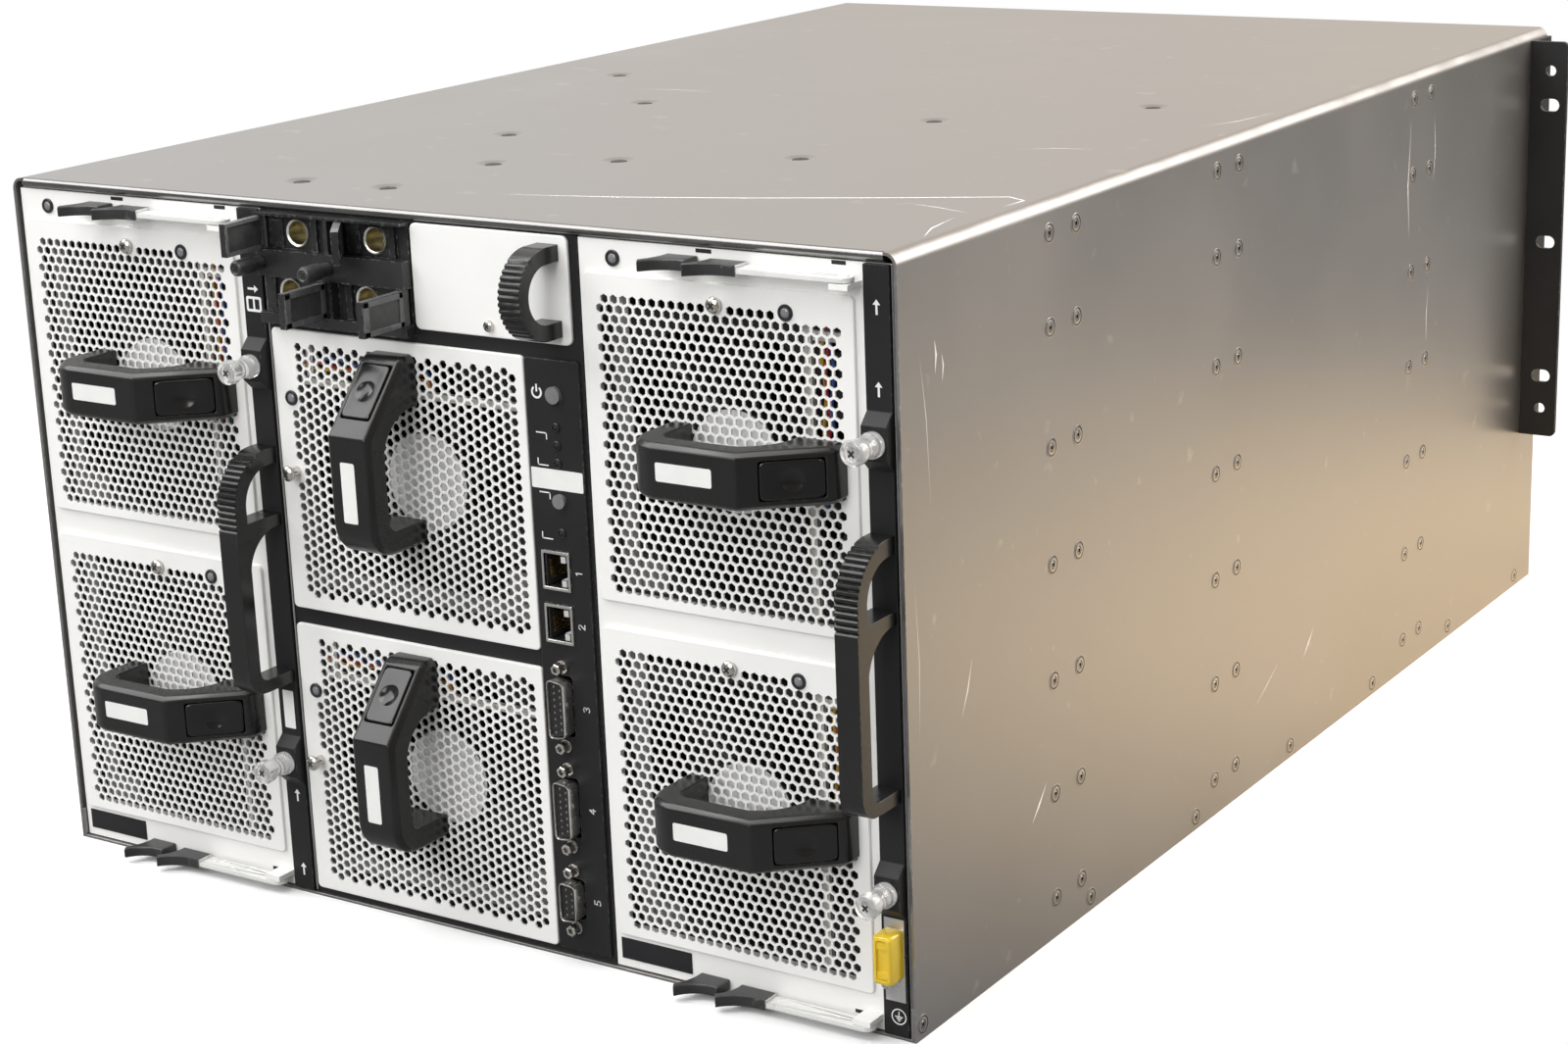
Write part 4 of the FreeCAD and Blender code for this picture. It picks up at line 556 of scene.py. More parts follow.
# Fan covers and frames: each cover is pressed from white painted sheet, punched with rows of hexagons,
# with a skirt that slides into the bay. The moulded fan frame with its motor arms is screwed inside it.
FANS = {
    "fan_left_top": (-156.1, 222.0, 0), "fan_left_bottom": (-156.1, 81.1, 0),
    "fan_right_top": (143.1, 222.0, 0), "fan_right_bottom": (143.1, 81.1, 0),
    "fan_center_top": (-13.4, 191.0, -90), "fan_center_bottom": (-13.4, 64.0, -90),
}
FAN_SEATS = {fan: Matrix.Translation((x, REAR, z)) @ Matrix.Rotation(math.radians(turn), 4, "Y")
             for fan, (x, z, turn) in FANS.items()}
COVER_WIDTH, COVER_HEIGHT, COVER_SHEET, COVER_EDGE, COVER_CORNER = 120.0, 130.0, 0.8, 1.5, 2.1
PRESSED_EDGE = ((0.5, 0), (0.2, 0.1), (0.06, 0.27), (0, 0.5), (0, COVER_EDGE))
HOLE_FLATS, HOLE_PITCH, HOLE_ROWS, HOLE_COLUMNS = 3.32, 4.4, 31, 25
HEXAGON = [math.radians(60 * k + 30) for k in range(6)]
FIELD_DROP, FIRST_ROW_END = 2.1, 26.0
LOCK_SCREW, SCREW_CLEAR = (0.0, 56.9), 5.3
COVER_LIGHT, LIGHT_CLEAR = (31.0, 56.6), 5.2
SKIRT_WIDTH, SKIRT_HEIGHT, SKIRT_SHEET, SKIRT_DEPTH, SKIRT_CORNER = 116.0, 126.0, 1.2, 46.0, 1.5
FAN_SIZE, FAN_DROP, FAN_NEAR, FAN_FAR, DUCT_RADIUS = 113.6, 5.0, 5.5, 43.5, 54.0
BOLT_REACH, BOLT_RADIUS = 49.5, 2.3
ARM_START, ARM_END, ARM_HALF, ARM_THICK = 16.0, DUCT_RADIUS + 3, 3.2, 4.0
fan_black = finish("fan_black", (0.012, 0.012, 0.013), 0.4, drift=0.2, patch=20, relief=0.2, speck=0.8)


def band(work, loops):
    """Faces between loops of corners that follow each other."""
    rings = [[work.verts.new(corner) for corner in loop] for loop in loops]
    for near, far in zip(rings, rings[1:]):
        for k in range(len(near)):
            after = (k + 1) % len(near)
            work.faces.new((near[k], near[after], far[after], far[k]))


def stepped(middle, face, width, height, radius, rims, least=0.0, steps=4):
    """Loops of a plate with rounded corners, one for each pair of inset and depth behind its face."""
    return [[(a, face + depth, b) for a, b in rounded(width - 2 * inset, height - 2 * inset,
                                                      max(least, radius - inset), steps, middle)]
            for inset, depth in rims]


def fan_cover():
    """The cover, its skirt and the fan frame, about the cover's middle with its face at nought."""
    work = bmesh.new()
    holes = []
    side = HOLE_FLATS / math.sqrt(3)
    rise = HOLE_PITCH * math.sqrt(3) / 2
    for row in range(HOLE_ROWS):
        count = HOLE_COLUMNS - (row + 1) % 2
        z = ((HOLE_ROWS - 1) / 2 - row) * rise - FIELD_DROP
        for column in range(count):
            x = (column - (count - 1) / 2) * HOLE_PITCH
            near_screw = math.dist((x, z), LOCK_SCREW) < SCREW_CLEAR
            near_light = math.dist((x, z), COVER_LIGHT) < LIGHT_CLEAR
            if near_screw or near_light or (row == 0 and x > FIRST_ROW_END):
                continue
            holes.append([(x + side * math.cos(turn), z + side * math.sin(turn)) for turn in HEXAGON])
    rim = stepped((0, 0), 0, COVER_WIDTH, COVER_HEIGHT, COVER_CORNER,
                  PRESSED_EDGE + ((0.5, COVER_EDGE), (0.5, COVER_SHEET)))
    punched(work, [(a, b) for a, depth, b in rim[0]], holes, rearward(0), 0, -COVER_SHEET, walled=False)
    band(work, rim)
    band(work, stepped((0, 0), 0, SKIRT_WIDTH, SKIRT_HEIGHT, SKIRT_CORNER,
                       ((0, COVER_SHEET), (0, SKIRT_DEPTH), (SKIRT_SHEET, SKIRT_DEPTH),
                        (SKIRT_SHEET, COVER_SHEET))))
    inside = rearward(0, 0, -FAN_DROP)
    bolts = [circle(a * BOLT_REACH, b * BOLT_REACH, BOLT_RADIUS, 12) for a in (-1, 1) for b in (-1, 1)]
    punched(work, rounded(FAN_SIZE, FAN_SIZE, 3.0), [circle(0, 0, DUCT_RADIUS, 64)] + bolts, inside,
            -FAN_NEAR, -FAN_FAR, mark=1)
    arm = [(ARM_START, -ARM_HALF), (ARM_END, -ARM_HALF), (ARM_END, ARM_HALF), (ARM_START, ARM_HALF)]
    for turn in (45, 135, 225, 315):
        c, s = math.cos(math.radians(turn)), math.sin(math.radians(turn))
        drawn(work, [(a * c - b * s, a * s + b * c) for a, b in arm], inside,
              (ARM_THICK - FAN_FAR, -FAN_FAR), mark=1)
    turned(work, [(0, 0), (20, 0), (21, 1), (21, 4), (3, 4), (3, 26), (0, 26)],
           (0, FAN_FAR, -FAN_DROP), sides=40, mark=1)
    return work


cover_mesh = None
for fan, seat in FAN_SEATS.items():
    if cover_mesh is None:
        cover = fitted(fan + "_cover", fan_cover(), fan, "white_paint", white_paint, fan_black, sharp=40)
        cover_mesh = cover.data
    else:
        cover = placed(fan + "_cover", cover_mesh)
    cover.matrix_world = Matrix.Translation(seat.translation * MM) @ seat.to_3x3().to_4x4()
    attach(cover, fan)
    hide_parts(fan + "_carrier")

# Behind each cover: a grey metal side plate, a white cable strip and the fan's own coloured leads.
# The leads lie flat against the fan frame, held under the cover, and end in the strip's sockets.
plate_grey = finish("plate_grey", (0.28, 0.28, 0.28), 0.4, metal=0.7, drift=0.2, patch=14, speck=1.5)
strip_white = finish("strip_white", (0.62, 0.61, 0.56), 0.5, patch=6)
LEADS = (("red_lead", (0.42, 0.03, 0.025), 45.4, 0.9), ("yellow_lead", (0.55, 0.33, 0.03), 44.0, 0.7),
         ("blue_lead", (0.03, 0.09, 0.3), 47.6, 0.8))
LEAD_DEPTH, LEAD_RADIUS, LEAD_TOP, LEAD_STEP, LEAD_POINTS = 4.3, 0.75, 54.0, 4.2, 17
LEAD_TURNS, LEAD_WAVE, LEAD_END = [math.radians(45 * k) for k in range(8)], 0.9, (-5.5, -16.5)
for number, (name, colour, x, sway) in enumerate(LEADS):
    lead_finish = finish(name, colour, 0.4, patch=10)
    path = [Vector((x + sway * math.sin(k * LEAD_WAVE + number * 2), LEAD_DEPTH, LEAD_TOP - LEAD_STEP * k))
            for k in range(LEAD_POINTS)]
    path.append(Vector((x + LEAD_END[0], LEAD_DEPTH, LEAD_END[1])))
    loops = []
    for k, here in enumerate(path):
        ahead = (path[min(k + 1, len(path) - 1)] - path[max(k - 1, 0)]).normalized()
        side = ahead.cross(Vector((0, 1, 0))).normalized()
        loops.append([here + side * LEAD_RADIUS * math.cos(t) + Vector((0, LEAD_RADIUS * math.sin(t), 0))
                      for t in LEAD_TURNS])
    for fan, seat in FAN_SEATS.items():
        work = bmesh.new()
        band(work, loops)
        fitted(fan + "_" + name, work, fan, "fan_plastic", lead_finish, seat=seat)
INNER_BACK, PLATE_FACE, STRIP_FACE = 5.3, 4.3, 3.4
INNER_BARS = ((-50.6, -42.8, -60, 58, PLATE_FACE, 0.2, 0), (-42.6, -30.0, -60, -48, PLATE_FACE, 0.2, 0),
              (36.2, 39.6, -60, 54, STRIP_FACE, 0.3, 1), (39.8, 54.5, 46.4, 50.4, STRIP_FACE, 0.3, 1))
PLATE_SCREW_X, PLATE_SCREW_LEVELS = -46.7, (-52, -26, 0, 26, 50)
for fan, seat in FAN_SEATS.items():
    work = bmesh.new()
    for left, right, low, high, face, ease, mark in INNER_BARS:
        bar(work, (left, face, low), (right, INNER_BACK, high), ease, mark)
    for z in PLATE_SCREW_LEVELS:
        turned(work, [(2.6, 0), (2.4, 0.5), (0.6, 0.6), (0, 0.4)], (PLATE_SCREW_X, PLATE_FACE, z), sides=16)
    fitted(fan + "_inner_plate", work, fan, "bright_steel", plate_grey, strip_white, seat=seat)

# Cover fittings: a nickel cross-head locking screw above the middle and a status light to its right.
# On the centre fans, which stand on their sides, both are at the left.
nickel = finish("nickel", (0.62, 0.6, 0.56), 0.22, metal=1.0, drift=0.1, patch=3, relief=0.05)


def cross_recess(work, place, size, depth, mark):
    """A near-black cross just proud of a screw's head, painted shade for a driver recess; place maps its flat
    corners.
    """
    arm, slant = size * 0.26, math.sqrt(0.5)
    loop = [(arm, size), (-arm, size), (-arm, arm), (-size, arm), (-size, -arm), (-arm, -arm), (-arm, -size),
            (arm, -size), (arm, -arm), (size, -arm), (size, arm), (arm, arm)]
    punched(work, [((a - b) * slant, (a + b) * slant) for a, b in loop], [], place, depth, 0, mark=mark)


SCREW_STAND, LONG_SCREW_STAND = 0.4, 5.0
for fan, seat in FAN_SEATS.items():
    stand = LONG_SCREW_STAND if "center" in fan else SCREW_STAND
    work = bmesh.new()
    x, z = LOCK_SCREW
    head = [(0, -1.0), (2.0, -1.0), (2.0, stand), (3.1, stand), (3.3, stand + 0.5), (3.1, stand + 1.4),
            (2.3, stand + 2.1), (1.2, stand + 2.35), (0, stand + 2.4)]
    turned(work, head, (x, 0, z), sides=28)
    cross_recess(work, rearward(-stand - 2.2, x, z), 1.5, 0.24, 1)
    fitted(fan + "_lock_screw", work, fan, "bright_steel", nickel, recess_painted_shade, seat=seat)
    work = bmesh.new()
    lamp(work, *COVER_LIGHT, 0, LIGHT_RADIUS)
    fitted(fan + "_status_light", work, fan, "black_plastic", light_ring, light_lens, seat=seat)

# Fan rotors: black moulded hub and blades in one, on the frame's shaft.
# A plain silver-white disc is stuck on the hub's face.
hub_disc = finish("hub_disc", (0.86, 0.86, 0.85), 0.42, drift=0.08, patch=5, relief=0.1)
DISC_RADIUS, DISC_DEPTH = 20.2, 9.5
for fan, seat in FAN_SEATS.items():
    dress(fan + "_rotor", fan_black, ease=0.5)
    work = bmesh.new()
    turned(work, [(0, 0), (DISC_RADIUS, 0), (DISC_RADIUS, 0.2), (DISC_RADIUS - 0.6, 0.3), (0, 0.3)],
           seat @ Vector((0, DISC_DEPTH, -FAN_DROP)), sides=48)
    fitted(fan + "_hub_disc", work, fan + "_rotor", "white_paint", hub_disc)

# Fan handles: glass-filled black moulding, satin on the bar with a fine grain, screwed from behind.
# A bare white sticker lies on the flat front of the bar.
handle_black = finish("handle_black", (0.009, 0.009, 0.009), 0.25, drift=0.15, patch=25, relief=0.08,
                      speck=0.45, edge_wear_and_sheen=(0.07, 0.07, 0.07), edge_wear_and_sheen_width=0.8)
HANDLE_REACH = 32.0
STICKER_LENGTH, STICKER_HEIGHT, STICKER_MIDDLE = 24.8, 7.2, (5.0, 0.5)
for fan, seat in FAN_SEATS.items():
    dress(fan + "_handle", handle_black, ease=0.9, steps=3)
    work = bmesh.new()
    printed(work, rounded(STICKER_LENGTH, STICKER_HEIGHT, 0.8, middle=STICKER_MIDDLE), -HANDLE_REACH)
    fitted(fan + "_sticker", work, fan, "white_paint", sticker_white, seat=seat)

# Release buttons: gloss black caps in the handles' slopes, each with a round thumb dimple
# inside a raised rim. Pressing one frees its fan module.
BUTTON_MIDDLE = Vector((43.386, -18.206, 0))
BUTTON_ALONG = Vector((0.7552, 0.6555, 0))
BUTTON_OUT = Vector((0.6555, -0.7552, 0))
BUTTON_LENGTH, BUTTON_WIDTH, BUTTON_PROUD, BUTTON_THICK = 24.0, 14.5, 0.5, 4.0
gloss_black = finish("gloss_black", (0.007, 0.007, 0.0075), 0.16, drift=0.15, patch=12, relief=0.02)
BUTTON_TURNS = [2 * math.pi * k / 72 for k in range(72)]
DIMPLE = ((0.5, 1.0), (1.5, 0.92), (2.5, 0.74), (3.3, 0.53), (3.9, 0.33), (4.3, 0.18), (4.6, 0.08),
          (5.0, 0.01))
CAP_RIM = ((1.2, -0.02), (0.6, 0.0), (0.25, -0.06), (0.05, -0.25), (0, -0.5), (0, -BUTTON_THICK))
CAP_SQUARENESS = 11


def cap_edge(turn, inset):
    """A point on the cap's rounded outline, drawn in by an inset."""
    half_length, half_width = BUTTON_LENGTH / 2 - inset, BUTTON_WIDTH / 2 - inset
    far = (abs(math.cos(turn) / half_length) ** CAP_SQUARENESS
           + abs(math.sin(turn) / half_width) ** CAP_SQUARENESS) ** (-1 / CAP_SQUARENESS)
    return far * math.cos(turn), far * math.sin(turn)


flat = [[(radius * math.cos(t), radius * math.sin(t), -sink - 0.02) for t in BUTTON_TURNS]
        for radius, sink in DIMPLE]
flat += [[(*cap_edge(t, inset), rise) for t in BUTTON_TURNS] for inset, rise in CAP_RIM]
loops = [[BUTTON_MIDDLE + BUTTON_ALONG * a + Vector((0, 0, b)) + BUTTON_OUT * (BUTTON_PROUD + rise)
          for a, b, rise in loop] for loop in flat]
for fan, seat in FAN_SEATS.items():
    work = bmesh.new()
    band(work, loops)
    bmesh.ops.holes_fill(work, edges=[line for line in work.edges if line.is_boundary])
    button = fitted(fan + "_thumb_button", work, fan + "_button", "gloss_black", gloss_black, seat=seat)
    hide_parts(fan + "_button")

# Ejector levers and finger tabs: white painted arms on pins, with pebbled black grips moulded on.
# The fixed tabs beside them give the fingers something to pull against.
grip_black = finish("grip_black", (0.03, 0.03, 0.031), 0.36, drift=0.15, patch=10, relief=0.2, speck=0.6,
                    edge_wear_and_sheen=(0.14, 0.14, 0.14), edge_wear_and_sheen_width=0.7)
arm_white = finish("arm_white", (0.8, 0.8, 0.78), 0.3, metal=0.2, drift=0.05, patch=15, relief=0.06)
GRIP_END, GRIP_FRONT, GRIP_SKIN, NECK_LENGTH = 78.0, -344.3, 0.5, 6.4
for hand in TRAY_LEFTS:
    for end in ("top", "bottom"):
        node = hand + "_" + end + "_lever"
        dress(node, arm_white, grip_black, ease=0.35)
        mesh = nodes[node].data
        low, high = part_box(node)
        neck = TRAY_LEFTS[hand] + GRIP_END
        for polygon in mesh.polygons:
            spots = [mesh.vertices[k].co for k in polygon.vertices]
            above = max(spot.z for spot in spots) - high.z
            below = low.z - min(spot.z for spot in spots)
            if max(above, below) > -GRIP_SKIN * MM and min(spot.x for spot in spots) < neck * MM - 1e-5:
                polygon.material_index = 1
        work = bmesh.new()
        bar(work, (neck - NECK_LENGTH, GRIP_FRONT - 0.05, low.z / MM + 0.3),
            (neck, GRIP_FRONT + SUNK, high.z / MM - 0.3), 0.04)
        fitted(node + "_neck", work, node, "black_plastic", grip_black)
    dress(hand + "_finger_tabs", grip_black, ease=0.8, steps=3)

# Captive screws: clear plastic barrels over a steel screw, with a cross recess in the end.
# Each turns in the boss of its strip and holds the module in the case.
clear_head = finish("clear_head", (0.93, 0.93, 0.92), 0.12, drift=0.03, patch=6, relief=0.03,
                    Transmission_Weight=0.75, IOR=1.45)
BOSS_FRONT, BARREL_END = -341.3, 15.0
BARREL = [(0, 0), (4.9, 0), (5.0, 0.4), (5.0, 2.6), (4.3, 3.0), (4.0, 3.6), (4.0, 9.6), (4.3, 10.4),
          (4.95, 10.9), (5.0, 11.4), (5.0, 14.3), (4.7, 15.0), (4.0, 15.4), (3.0, 15.5), (2.6, 15.2),
          (0, 15.1)]
CAPTIVE_LEVELS = {"top": 235.0, "bottom": 61.5}
for hand, x in STRIP_MIDDLE.items():
    for end, z in CAPTIVE_LEVELS.items():
        work = bmesh.new()
        turned(work, BARREL, (x, BOSS_FRONT, z), sides=40)
        turned(work, [(2.5, 0), (2.5, -18.0), (0, -18.0)], (x, BOSS_FRONT, z), sides=20, mark=1)
        cross_recess(work, rearward(BOSS_FRONT - BARREL_END, x, z), 1.6, 0.2, 2)
        name = hand + "_" + end + "_screw"
        screw = fitted(name + "_head", work, name, "bright_steel", clear_head, nickel, recess_painted_shade)
        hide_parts(name)

# Pull handles: tall black mouldings on three feet, ridged over the rounded top for the fingers.
# They are screwed through the strips from behind.
for hand in TRAY_LEFTS:
    dress(hand + "_pull_handle", handle_black, ease=0.4)

# Direct-current inlet: a black moulding with four cells, each with a turned brass socket and a flap.
# Two black thumbscrews on the middle bar hold it in the frame. The flaps' rims and top edges are a lighter
# grey: painted highlight.
# Its lighter edge tone is rubbed wear and, along the rims, a painted highlight.
inlet_black = finish("inlet_black", (0.022, 0.022, 0.023), 0.28, drift=0.2, patch=12, relief=0.12, speck=0.5,
                     edge_wear_and_sheen=(0.3, 0.3, 0.3), edge_wear_and_sheen_width=0.6)
dress("terminal_block", inlet_black, ease=0.4)
flap_grain = finish("flap_grain", (0.055, 0.055, 0.056), 0.45, drift=0.25, patch=4, relief=0.4, speck=0.7)
# A lighter, glossier grey for the flaps' rims and upward faces: painted highlight.
flap_rim_painted_highlight = finish("flap_rim_painted_highlight", (0.13, 0.13, 0.132), 0.26, drift=0.2, patch=8, relief=0.1)
FLAP_RECESS, FLAP_FRAME, FLAP_PIN, FLAP_HINGE, FLAP_TIP, FLAP_PROUD = 0.6, 2.2, 1.1, 5.0, 0.2, 0.45
for flap in ("flap_a_top", "flap_b_top", "flap_a_bottom", "flap_b_bottom"):
    dress(flap, inlet_black, flap_grain, flap_rim_painted_highlight, ease=0.3)
    low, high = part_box(flap)
    lower = flap.endswith("bottom")
    for polygon in nodes[flap].data.polygons:
        if polygon.normal.x > 0.9 and (lower or polygon.center.x < high.x - FLAP_RECESS * MM):
            polygon.material_index = 1
        # Rim faces and upward faces take the lighter grey, a painted highlight on the rims and top edges.
        elif polygon.normal.x > 0.9 or polygon.normal.z > 0.7:
            polygon.material_index = 2
    # A lower flap also gets a raised frame in the same painted highlight.
    if lower:
        low, high = low / MM, high / MM
        near, far = low.y + FLAP_TIP, high.y - FLAP_HINGE
        foot, head = low.z + FLAP_PIN, high.z - FLAP_PIN
        work = bmesh.new()
        for start, end, bottom, top in (
            (near, far, foot, foot + FLAP_FRAME), (near, far, head - FLAP_FRAME, head),
            (near, near + 1.4 * FLAP_FRAME, foot, head), (far - FLAP_FRAME, far, foot, head),
        ):
            bar(work, (high.x - 0.05, start, bottom), (high.x + FLAP_PROUD, end, top), 0.15)
        fitted(flap + "_frame", work, flap, "black_plastic", flap_rim_painted_highlight)
SOCKETS = ((-58.6, 291.4), (-64.6, 266.8), (-18.1, 291.4), (-24.1, 266.8))
SOCKET_FRONT, SOCKET_RADIUS = -337.3, 5.8
brass = finish("brass", (0.47, 0.43, 0.29), 0.34, metal=1.0, drift=0.15, patch=4, relief=0.06)
tinned_rim = finish("tinned_rim", (0.95, 0.93, 0.86), 0.3, metal=1.0, drift=0.08, patch=3)
work = bmesh.new()
for x, z in SOCKETS:
    for mark, profile in (
        (0, [(SOCKET_RADIUS, -30), (SOCKET_RADIUS, -0.25)]),
        (1, [(SOCKET_RADIUS, -0.25), (5.6, 0), (5.2, -0.1), (4.75, -0.6)]),
        (0, [(4.75, -0.6), (4.7, -9.0), (4.2, -9.6), (0, -9.8), (0, -31.0), (SOCKET_RADIUS, -31.0),
             (SOCKET_RADIUS, -30)]),
    ):
        turned(work, profile, (x, SOCKET_FRONT, z), sides=40, mark=mark)
sockets = fitted("inlet_sockets", work, "chassis", "brass", brass, tinned_rim, joined=True)
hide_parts("terminal_sockets")
screw_black = finish("screw_black", (0.045, 0.045, 0.046), 0.34, drift=0.2, patch=5, relief=0.2)
KNOB = [(0, 0), (2.7, 0), (2.8, 4.6), (3.2, 5.0), (3.4, 5.6), (3.4, 13.6), (3.0, 14.6), (2.3, 15.0),
        (1.9, 14.6), (0, 14.5)]
KNOB_SEAT, KNOB_END, KNOB_LEVEL = -341.3, 14.5, 279.0
for name, x in (("terminal_screw_a", -76.0), ("terminal_screw_b", -40.15)):
    work = bmesh.new()
    turned(work, KNOB, (x, KNOB_SEAT, KNOB_LEVEL), sides=30)
    turned(work, [(2.0, 0), (2.0, -6.0), (0, -6.0)], (x, KNOB_SEAT, KNOB_LEVEL), sides=16)
    cross_recess(work, rearward(KNOB_SEAT - KNOB_END, x, KNOB_LEVEL), 1.5, 0.15, 1)
    thumb = fitted(name + "_knob", work, name, "black_plastic", screw_black, recess_painted_shade)
    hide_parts(name)
INLET_BARS = ((-14.6, -7.4, 0.0, 0.9, 6.0, 0.25), (-13.4, -8.6, -0.2, SUNK, 4.6, 0.12))
work = bmesh.new()
for x, z in SOCKETS[::2]:
    for left, right, near, far, half, ease in INLET_BARS:
        bar(work, (x + left, SOCKET_FRONT + near, z - half), (x + right, SOCKET_FRONT + far, z + half), ease)
fitted("inlet_plates", work, "chassis", "black_plastic", inlet_black)

# Filler panel: a white painted blank for the unused bay, pressed with rounded corners, with a ridged
# black C handle on it. A small steel screw at the lower edge holds it in.
dress("filler_panel", white_paint, handle_black, ease=0.5)
filler_mesh = nodes["filler_panel"].data
for group in solids_of("filler_panel"):
    depths = [filler_mesh.vertices[k].co.y for number in group for k in filler_mesh.polygons[number].vertices]
    if min(depths) + max(depths) < 2 * REAR * MM:
        for number in group:
            filler_mesh.polygons[number].material_index = 1
FILLER_MIDDLE, FILLER_WIDTH, FILLER_HEIGHT, FILLER_CORNER = (37.6, 278.25), 77.0, 42.5, 2.8
FILLER_SHEET, FILLER_BACK, FILLER_SCREW = 1.5, 61.5, (36.4, 261.5)
FILLER_RIM = PRESSED_EDGE + ((2.0, FILLER_SHEET), (2.0, FILLER_BACK), (3.2, FILLER_BACK), (3.2, FILLER_SHEET))
blank = bmesh.new()
blank.from_mesh(filler_mesh)
bmesh.ops.scale(blank, vec=(1 / MM, 1 / MM, 1 / MM), verts=blank.verts)
bmesh.ops.delete(blank, geom=[face for face in blank.faces if face.material_index == 0], context="FACES")
bmesh.ops.remove_doubles(blank, verts=blank.verts, dist=1e-4)
loops = stepped(FILLER_MIDDLE, REAR, FILLER_WIDTH, FILLER_HEIGHT, FILLER_CORNER, FILLER_RIM, 0.8, 6)
band(blank, loops)
punched(blank, [(a, b) for a, depth, b in loops[0]], [], rearward(REAR), 0, -FILLER_SHEET, walled=False)
blank_panel = fitted("filler_blank", blank, "filler_panel", "white_paint", white_paint, handle_black)
broken_edges(blank_panel, 0.4, 2, 50)
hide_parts("filler_panel")
work = bmesh.new()
turned(work, [(0, -0.5), (2.3, -0.5), (2.4, 0.4), (2.1, 1.3), (1.2, 1.8), (0, 1.9)],
       (FILLER_SCREW[0], REAR, FILLER_SCREW[1]), sides=24)
cross_recess(work, rearward(REAR - 1.65, *FILLER_SCREW), 1.1, 0.25, 1)
fitted("filler_screw", work, "filler_panel", "bright_steel", nickel, recess_painted_shade)

# Control strip: black powder-coated steel with two grey push buttons and four small lights.
# A bare white sticker crosses it below the lights. Signs are printed white.
CONTROL_FRONT, CONTROL_SHEET = -336.0, 1.5
CONTROL_LEFT, CONTROL_RIGHT, CONTROL_LOW, CONTROL_HIGH = 52.1, 78.4, 4.0, 251.0
CONTROL_X, CONNECTOR_X = 66.1, 62.5
CONTROL_BUTTONS, CONTROL_LIGHTS = ((237.03, 3.6), (194.53, 3.1)), (224.1, 216.9, 209.8, 181.6)
CONTROL_LIGHT_RADIUS, CONTROL_STICKER = 1.9, (65.2, 203.0)
JACKS = (165.9, 143.9)
DSUBS = ((109.6, 25.0, 8), (66.5, 25.0, 8), (27.1, 16.9, 5))
openings = [circle(CONTROL_X, z, radius, 32) for z, radius in CONTROL_BUTTONS]
openings += [rounded(13.9, 16.5, 0.4, middle=(CONNECTOR_X, z)) for z in JACKS]
openings += [rounded(8.8, length + 0.6, 1.5, middle=(CONNECTOR_X, z)) for z, length, pins in DSUBS]
loops = stepped(((CONTROL_LEFT + CONTROL_RIGHT) / 2, (CONTROL_LOW + CONTROL_HIGH) / 2), CONTROL_FRONT,
                CONTROL_RIGHT - CONTROL_LEFT, CONTROL_HIGH - CONTROL_LOW, 1.2,
                ((0.45, 0), (0.15, 0.12), (0, 0.45), (0, CONTROL_SHEET), (0.45, CONTROL_SHEET)))
work = bmesh.new()
band(work, loops)
punched(work, [(a, b) for a, depth, b in loops[0]], openings, rearward(CONTROL_FRONT), 0, -CONTROL_SHEET,
        walled=False)
control = fitted("control_strip", work, "chassis", "black_frame", black_coat)
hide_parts("control_panel")
button_grey = finish("button_grey", (0.17, 0.17, 0.175), 0.4, drift=0.08, patch=4, relief=0.15)
for button in ("power_button", "alarm_button"):
    dress(button, button_grey, ease=0.35, steps=3)
work = bmesh.new()
for z in CONTROL_LIGHTS:
    lamp(work, CONTROL_X, z, CONTROL_FRONT, CONTROL_LIGHT_RADIUS)
fitted("control_lights", work, "chassis", "black_plastic", light_ring, plate_black)
work = bmesh.new()
printed(work, rounded(25.0, 8.2, 0.6, middle=CONTROL_STICKER), CONTROL_FRONT)
fitted("control_sticker", work, "chassis", "white_paint", sticker_white)
POWER_X, POWER_Z, POWER_OUTER, POWER_INNER, POWER_BAR = 57.6, 237.4, 2.6, 1.75, 0.8
BRACKET_LEFT, BRACKET_RIGHT, BRACKET_HOOK = 56.4, 61.2, 2.4
SIGN_BRACKETS = ((221.4, 208.4), (197.4, 178.6))
work = bmesh.new()
arc = [math.radians(125 + 290 * k / 24) for k in range(25)]
ring = [(POWER_X + POWER_OUTER * math.cos(t), POWER_Z + POWER_OUTER * math.sin(t)) for t in arc]
ring += [(POWER_X + POWER_INNER * math.cos(t), POWER_Z + POWER_INNER * math.sin(t)) for t in reversed(arc)]
printed(work, ring, CONTROL_FRONT)
ruled(work, [(POWER_X, POWER_Z + 0.6), (POWER_X, POWER_Z + 2.8)], POWER_BAR, CONTROL_FRONT)
for high, low in SIGN_BRACKETS:
    for path in (((BRACKET_LEFT, high), (BRACKET_RIGHT, high), (BRACKET_RIGHT, high - BRACKET_HOOK)),
                 ((BRACKET_LEFT, low + BRACKET_HOOK), (BRACKET_LEFT, low), (BRACKET_RIGHT, low))):
        ruled(work, path, 0.5, CONTROL_FRONT)
NUMERAL_X, NUMERAL_SIZE, NUMERAL_DROP = 74.6, 3.0, 0.9
